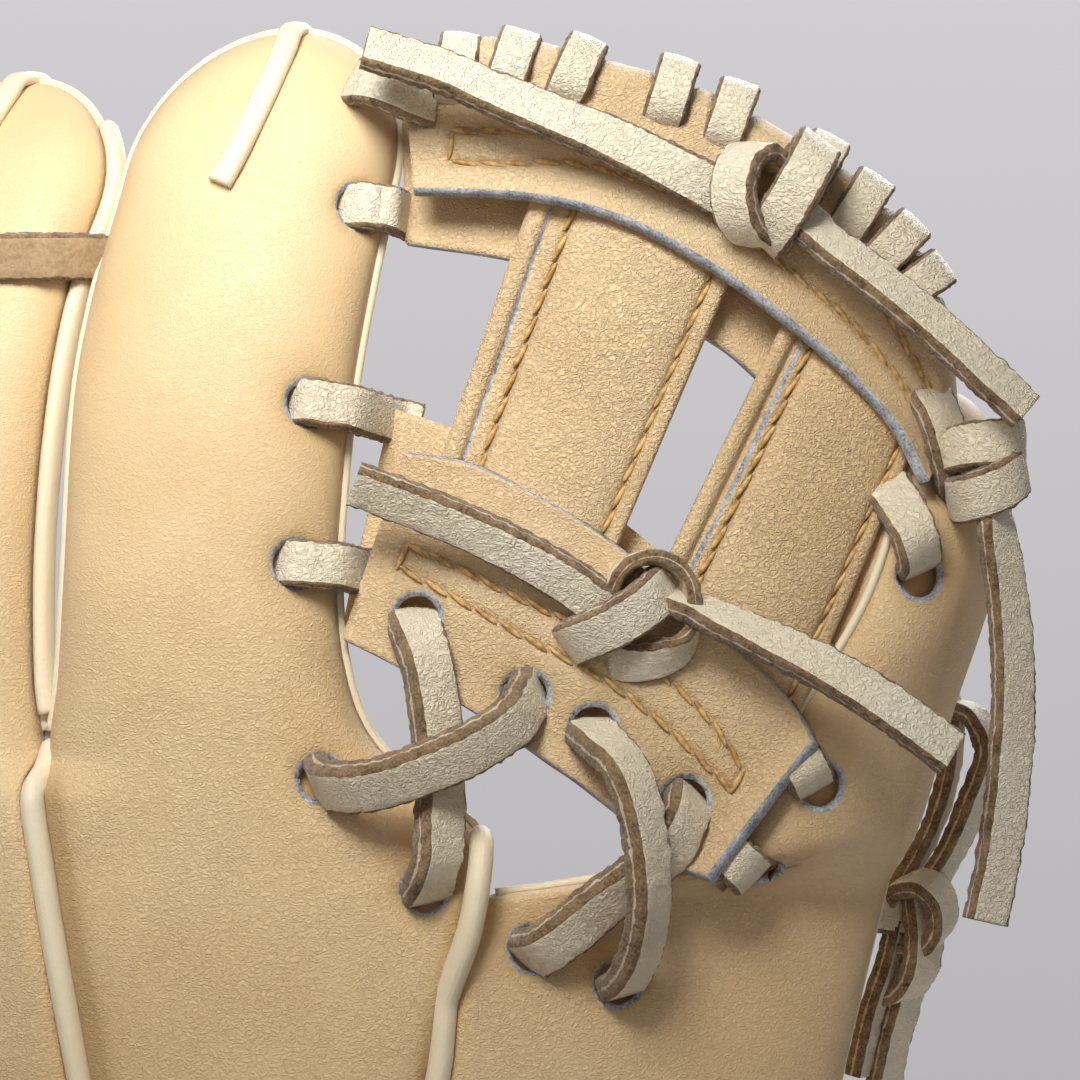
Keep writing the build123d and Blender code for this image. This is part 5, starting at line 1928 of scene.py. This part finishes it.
        self.tied("lower_web_tail_left", self.strip(
            [(8.7, -9, 184.1), (17.9, -8.6, 180.7), (30.2, -8.2, 175.6), (43.2, -7.8, 168.8), (50.8, -7, 163.4),
             (55, -5.6, 160)], 47.0, tilt=(38, 36, 33, 28, 20)), "lower_left_tail", Vector((48, 0, 166)))
        self.dressed("lower_web_tail_right", [self.strip(
            [(62.4, -6.4, 164.4), (66.6, -8.2, 162.9), (72.9, -10.6, 160), (83, -13, 155.5), (93.2, -14.3, 150.2),
             (102.5, -14, 144.1), (110.6, -12.5, 138)], 48.0,
            tilt=(-66, -66, -48, -32, -26, -28))], THUMB_SIDE, "lower_right_tail")

    def tied(self, name: str, part: Mesh, node: str, middle: Vector) -> None:
        """Makes a tail on the finger side that runs to its knot on the thumb side."""
        made = piece(name, part, self.finishes.rawhide, 0.002)
        crosses(made, [node], Bend(middle, FOLD_AT_WEB.across, 6.0))

    def over_digit(self, digit: Digit, s: float, z: float, height: float) -> Vector:
        """Finds a point a height outside a digit's back."""
        out = Pattern.normal(digit, s, z)
        return Pattern.place(digit, s, z) + Vector((out.x, out.y, 0)).normalized() * height

    def thumb(self) -> None:
        """Makes the knot at the thumb's tip and the lace behind its outer edge."""
        high = self.strip([(111.6, 9, 189.5), (112, 3.6, 190), (114.2, 0.6, 190.6), (118, -0.6, 191),
                           (121.6, 0.6, 191.4), (123, 4.2, 191), (121, 8, 189)], 51.0, (0, 0, 1), tilt=-12.0)
        low = self.strip(
            [(112.6, 8.4, 182), (113.2, 2.6, 181.4), (115.6, -1.6, 182), (119, -2.4, 183.4),
             (122, -0.8, 185.2), (123.2, 3.4, 186.6), (121.4, 7.4, 187.4)], 52.0, (-0.2, 0, 0.98), tilt=14.0)
        tail = self.strip(
            [(118.4, 5, 184), (118.9, 1.6, 178.7), (119.9, 1, 172.7), (121.7, 1.6, 160.6), (122.3, 2.4, 146.7),
             (121.5, 3, 132.9), (120, 3, 120.8), (117.4, 2, 108.4)], 53.0, tilt=(-66, -50, -40, -36, -32, -30))
        self.dressed("thumb_tip_knot", [high, low, tail], THUMB_SIDE, "thumb_knot")
        parts = [self.strip(points, 54.0 + k, across, outward) for k, (points, across, outward) in enumerate((
            ([(104.5, 43, 149), (109, 46.5, 149.4), (113.2, 49, 147.8), (115.1, 50, 144), (114.6, 50, 132.8),
              (111.2, 49, 122), (106.8, 46, 114.4), (103.4, 44.5, 110)], (0.25, 1, 0), THUMBWARDS),
            ([(106, 45, 142.6), (112, 48.4, 144), (118.4, 50.2, 142.6), (121.8, 50.2, 137.2),
              (118.9, 49.4, 127.3), (114.9, 48, 118.3), (110.4, 45, 111.6)], (0.5, 1, 0), THUMBWARDS),
            ([(104.4, 47, 108.8), (105.6, 42.6, 112.2), (109.2, 40.6, 112.8), (112.2, 40.8, 110),
              (112.6, 41.6, 105.4), (110.2, 44, 102), (106.2, 46, 101.6)], (0.45, 0.8, 0.35), BACKWARDS),
            ([(108.4, 46, 113.6), (109.2, 43.6, 108.6), (109.6, 43, 102.6), (108.6, 43.6, 96.4), (105.8, 46, 92.8),
              (102, 48, 93)], (0.7, 0.7, 0.1), BACKWARDS),
            ([(105.4, 46, 105.6), (103.8, 45.6, 98.7), (100.8, 46, 89.6), (98.2, 47, 77.9)], (0.5, 1, 0), THUMBWARDS),
            ([(107.6, 47, 99.5), (106.3, 48.4, 91.2), (104.4, 49.4, 83.9), (102.8, 49.6, 76)], (0.6, 0.8, 0),
             THUMBWARDS),
            ([(95, 38, 108.4), (99.6, 40.6, 108.2), (104, 43.4, 107.6), (108.6, 45.4, 106.6)], (0, 0, 1),
             Vector((0.55, -0.83, 0)))))]
        self.dressed("thumb_edge_lacing", parts, THUMB_SIDE, "thumb_edge_lace")

    def fingers(self) -> None:
        """Makes the laces that tie three fingers together, their suede side out."""
        parts = []
        for k, (digit, z, slope) in enumerate(((Digit.MIDDLE, 224, 0.3), (Digit.RING, 213, 1.5),
                                               (Digit.PINKY, 190, 1.5))):
            points = [self.over_digit(digit, s, z + slope * s, h) for s, h in (
                (0.9, 2.9), (0.6, 2.3), (0.3, 2.3), (0, 2.3), (-0.3, 2.3), (-0.6, 2.3), (-0.9, 2.1), (-0.95, -4.2))]
            rim = Pattern.section(digit, z).right
            around = [rim + Vector((x, y, slope)) for x, y in ((2.6, 9.5), (5, 6.4), (5.4, 2.2), (3, -1.6))]
            parts.append(self.strip(around + points, 61.0 + k, tilt=(6, -10, -14, -10, -5, 0)))
        made = self.dressed("finger_lacing", parts, FINGER_SIDE, "finger_lace")
        made.data.materials[0] = self.finishes.lace_flesh

    def build(self) -> None:
        """Makes all the laces."""
        self.web_laces()
        self.crotch()
        self.top_edge()
        self.knots()
        self.thumb()
        self.fingers()


# ---- the wrist


@dataclass
class Wrist:
    """The strap with its fleece, the opening's binding and the lace along the heel."""

    finishes: Finishes
    opening: HandOpening = field(default_factory=HandOpening)
    strap_line: Edge = (
        (-83, 25), (-76, 16), (-67, 9), (-58, 4.6), (-48, -0.8), (-36, -5.2), (-20, -8.4), (-4, -9.8), (5, -9.6),
        (12, -9), (15.5, -8.6), (30, -6.8), (46, -3.6), (62, 1.6))
    level: float = 38.0
    seam_height: float = 9.5
    heel_level: float = 12.0

    @staticmethod
    def digit_at(x: float, z: float) -> Digit:
        """Returns the digit whose part of the hand compartment holds x at a height.

        Args:
            x: the place across.
            z: the height.

        Returns:
            The digit.
        """
        for digit in Digit:
            if x < cubic_along(DIGITS[digit].right, z)[0]:
                return digit
        return Digit.THUMB

    def strap(self) -> None:
        """Makes the strap and the fleece inside it."""
        points = [Vector((x, y, self.level)) for x, y in self.strap_line]
        form = Strip(25.0, 3.0, 1.0, 0.5, 0.1, 0.12, 16)
        bm = form.sweep(Route(points, UPWARDS, 1.2), BACKWARDS, 71.0)
        # painted shade along the strap's two stitch rows
        shade(bm, "fold_shade", lambda p: 0.3 * bell(abs(p.z - self.level) - self.seam_height, 0.8))
        made = piece("wrist_strap_leather", bm, self.finishes.shell_sheet)
        crosses(made, ["wrist_strap", "wrist_strap_end"], FOLD_AT_SEAM)
        rows = [[p + Vector((0, -1.75, dz)) for p in points[1:]] for dz in (self.seam_height, -self.seam_height)]
        crosses(piece("wrist_strap_stitching", stitches(rows), [self.finishes.thread]), (),
                FOLD_AT_SEAM)
        inside = [p + Vector((0, 3.6, 0)) for p in points[4:9]]
        form = Strip(21.0, 3.2, 1.5, 0.6, 0.9, 0.9, 26)
        bm = form.sweep(Route(inside, UPWARDS, 0.8), PALMWARDS, 73.0)
        ride(piece("strap_fleece_pad", bm, [self.finishes.fleece] * 3), FINGER_SIDE, "fleece",
                       "strap_fleece")

    def binding(self) -> None:
        """Makes the rolled binding around the hand opening."""
        points, across = [], []
        for k, (x, z) in enumerate(self.opening.arc(1.2, 60, 8, 174)):
            a = math.atan2(z - self.opening.z, x - self.opening.x)
            digit = self.digit_at(x, z)
            s = Pattern.across(digit, x, z)
            out = Pattern.normal(digit, s, z)
            points.append(Pattern.place(digit, s, z) + out * 0.2)
            across.append(Vector((math.cos(a), 0, math.sin(a))))
        form = Strip(6.4, 5.0, 1.6, 0.4, 0.05, 0.08, 6)
        bm = form.sweep(Route(points, across, 1.0), BACKWARDS, 75.0)
        made = piece("hand_opening_binding", bm, [self.finishes.binding] * 3)
        crosses(made, ["opening_binding_finger_side", "opening_binding_thumb_side"], FOLD_AT_SEAM)

    def heel(self) -> None:
        """Makes the lace along the palm side of the heel."""
        points, z = [], self.heel_level
        for k in range(61):
            x = -66 + 132 * k / 60
            digit = self.digit_at(x, z)
            s = Pattern.across(digit, x, z) if k else -0.9
            p = Pattern.place(digit, Pattern.across(digit, x, z, Face.PALM), z, Face.PALM)
            out = Pattern.normal(digit, s, z, Face.PALM)
            wave = math.cos(k / 60 * math.pi * 12)
            points.append(p + out * (1.5 + 0.9 * wave))
        bm = LACE.sweep(Route(points, UPWARDS, 0.9), PALMWARDS, 77.0)
        made = piece("heel_lacing", bm, self.finishes.rawhide)
        crosses(made, ["heel_lace_finger_side", "heel_lace_thumb_side"],
                Bend(Vector((8.5, 30, 12)), THUMBWARDS, 12.0))

    def build(self) -> None:
        """Makes the parts around the wrist."""
        self.strap()
        self.binding()
        self.heel()


# ---- the studio


@dataclass(frozen=True)
class Lamp:
    """A soft area lamp that looks at the glove."""

    name: str
    place: Triple
    size: float
    power: float
    spread: float = 180.0


@dataclass
class Studio:
    """The floor, the backdrop, the lamps and the camera."""

    finishes: Finishes
    aim: Triple = (-0.01, -0.02, 0.255)
    lamps: tuple[Lamp, ...] = (
        Lamp("key", (-0.07, -0.42, 0.50), 0.24, 0.40, 56.0),
        Lamp("fill", (-0.3, -1.1, 0.5), 0.7, 1.0),
        Lamp("rim", (0.3, 0.8, 0.7), 0.7, 7.0))
    lens: float = 193.3
    eye: Triple = (0.04663, -1.05075, 0.1744)
    horizon: float = 0.11    # the height of a look, as a slope, over which the backdrop's tone changes

    def build(self) -> None:
        """Sets everything up."""
        scene = bpy.context.scene
        bm = bmesh.new()
        bmesh.ops.create_circle(bm, cap_ends=True, segments=96, radius=0.76)
        floor = piece("floor", bm, [Plain("floor_paint", "D6D4D6").make()])
        for lamp in self.lamps:
            light = bpy.data.lights.new(lamp.name, "AREA")
            light.shape = "DISK"
            light.size = lamp.size
            light.energy = lamp.power
            light.spread = math.radians(lamp.spread)
            made = bpy.data.objects.new(lamp.name, light)
            made.location = lamp.place
            made.visible_camera = False
            made.rotation_euler = (Vector(self.aim) - Vector(lamp.place)).to_track_quat("-Z", "Y").to_euler()
            scene.collection.objects.link(made)
        self.surroundings()
        camera = bpy.data.cameras.new("camera")
        camera.lens = self.lens
        camera.sensor_width = 36.0
        camera.clip_end = 20.0
        made = bpy.data.objects.new("camera", camera)
        made.location = self.eye
        made.rotation_euler = (math.radians(90), 0, 0)
        scene.collection.objects.link(made)
        scene.camera = made
        scene.view_settings.view_transform = "Standard"

    def surroundings(self) -> None:
        """Makes the even light all around and the pale backdrop that the camera sees behind the glove."""
        world = bpy.data.worlds.new("studio")
        bpy.context.scene.world = world
        world.use_nodes = True
        tree = world.node_tree
        tree.nodes.clear()
        out, seen, soft, way, split, level, tone, path, pick = (tree.nodes.new(f"ShaderNode{kind}") for kind in (
            "OutputWorld", "Background", "Background", "TexCoord", "SeparateXYZ", "MapRange", "ValToRGB",
            "LightPath", "MixShader"))
        Nodes.fill(level, {"From Min": -self.horizon, "From Max": self.horizon})
        Nodes.fill(soft, {"Color": (*linear("E6E4E4"), 1.0), "Strength": 0.24})
        for element, colour in zip(tone.color_ramp.elements, ("B5B3B6", "D3D0D3")):
            element.color = (*linear(colour), 1.0)
        for source, name, target, into in (
                (way, "Generated", split, 0), (split, "Z", level, "Value"), (level, 0, tone, 0),
                (tone, 0, seen, "Color"), (path, "Is Camera Ray", pick, 0), (soft, 0, pick, 1), (seen, 0, pick, 2),
                (pick, 0, out, 0)):
            tree.links.new(source.outputs[name], target.inputs[into])


# ---- the whole glove


def main() -> None:
    """Builds the glove around its frame."""
    logging.basicConfig(level=logging.INFO, format="%(message)s")
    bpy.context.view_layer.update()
    finishes = Finishes()
    for name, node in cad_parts.items():
        felt = name.endswith("_pad")
        node.data.materials.clear()
        node.data.materials.append(finishes.fleece if felt else finishes.lining)
    Studio(finishes).build()
    backs = FingerBacks(finishes)
    for digit in Digit:
        backs.build(digit)
        log.info("built the back of the %s", digit.value)
    palm = Palm(finishes)
    palm.build()
    lining = Lining(finishes, palm)
    lining.build()
    lining.felt()
    lining.loops()
    log.info("built the palm and the lining")
    welting = Welting(finishes)
    welting.seams()
    welting.sides()
    welting.tips()
    welting.edges()
    log.info("built the welting")
    web = Web(finishes)
    web.build()
    log.info("built the web")
    Lacing(finishes, web, backs).build()
    log.info("built the lacing")
    Wrist(finishes).build()
    log.info("built the wrist")


if __name__ == "__main__":
    main()
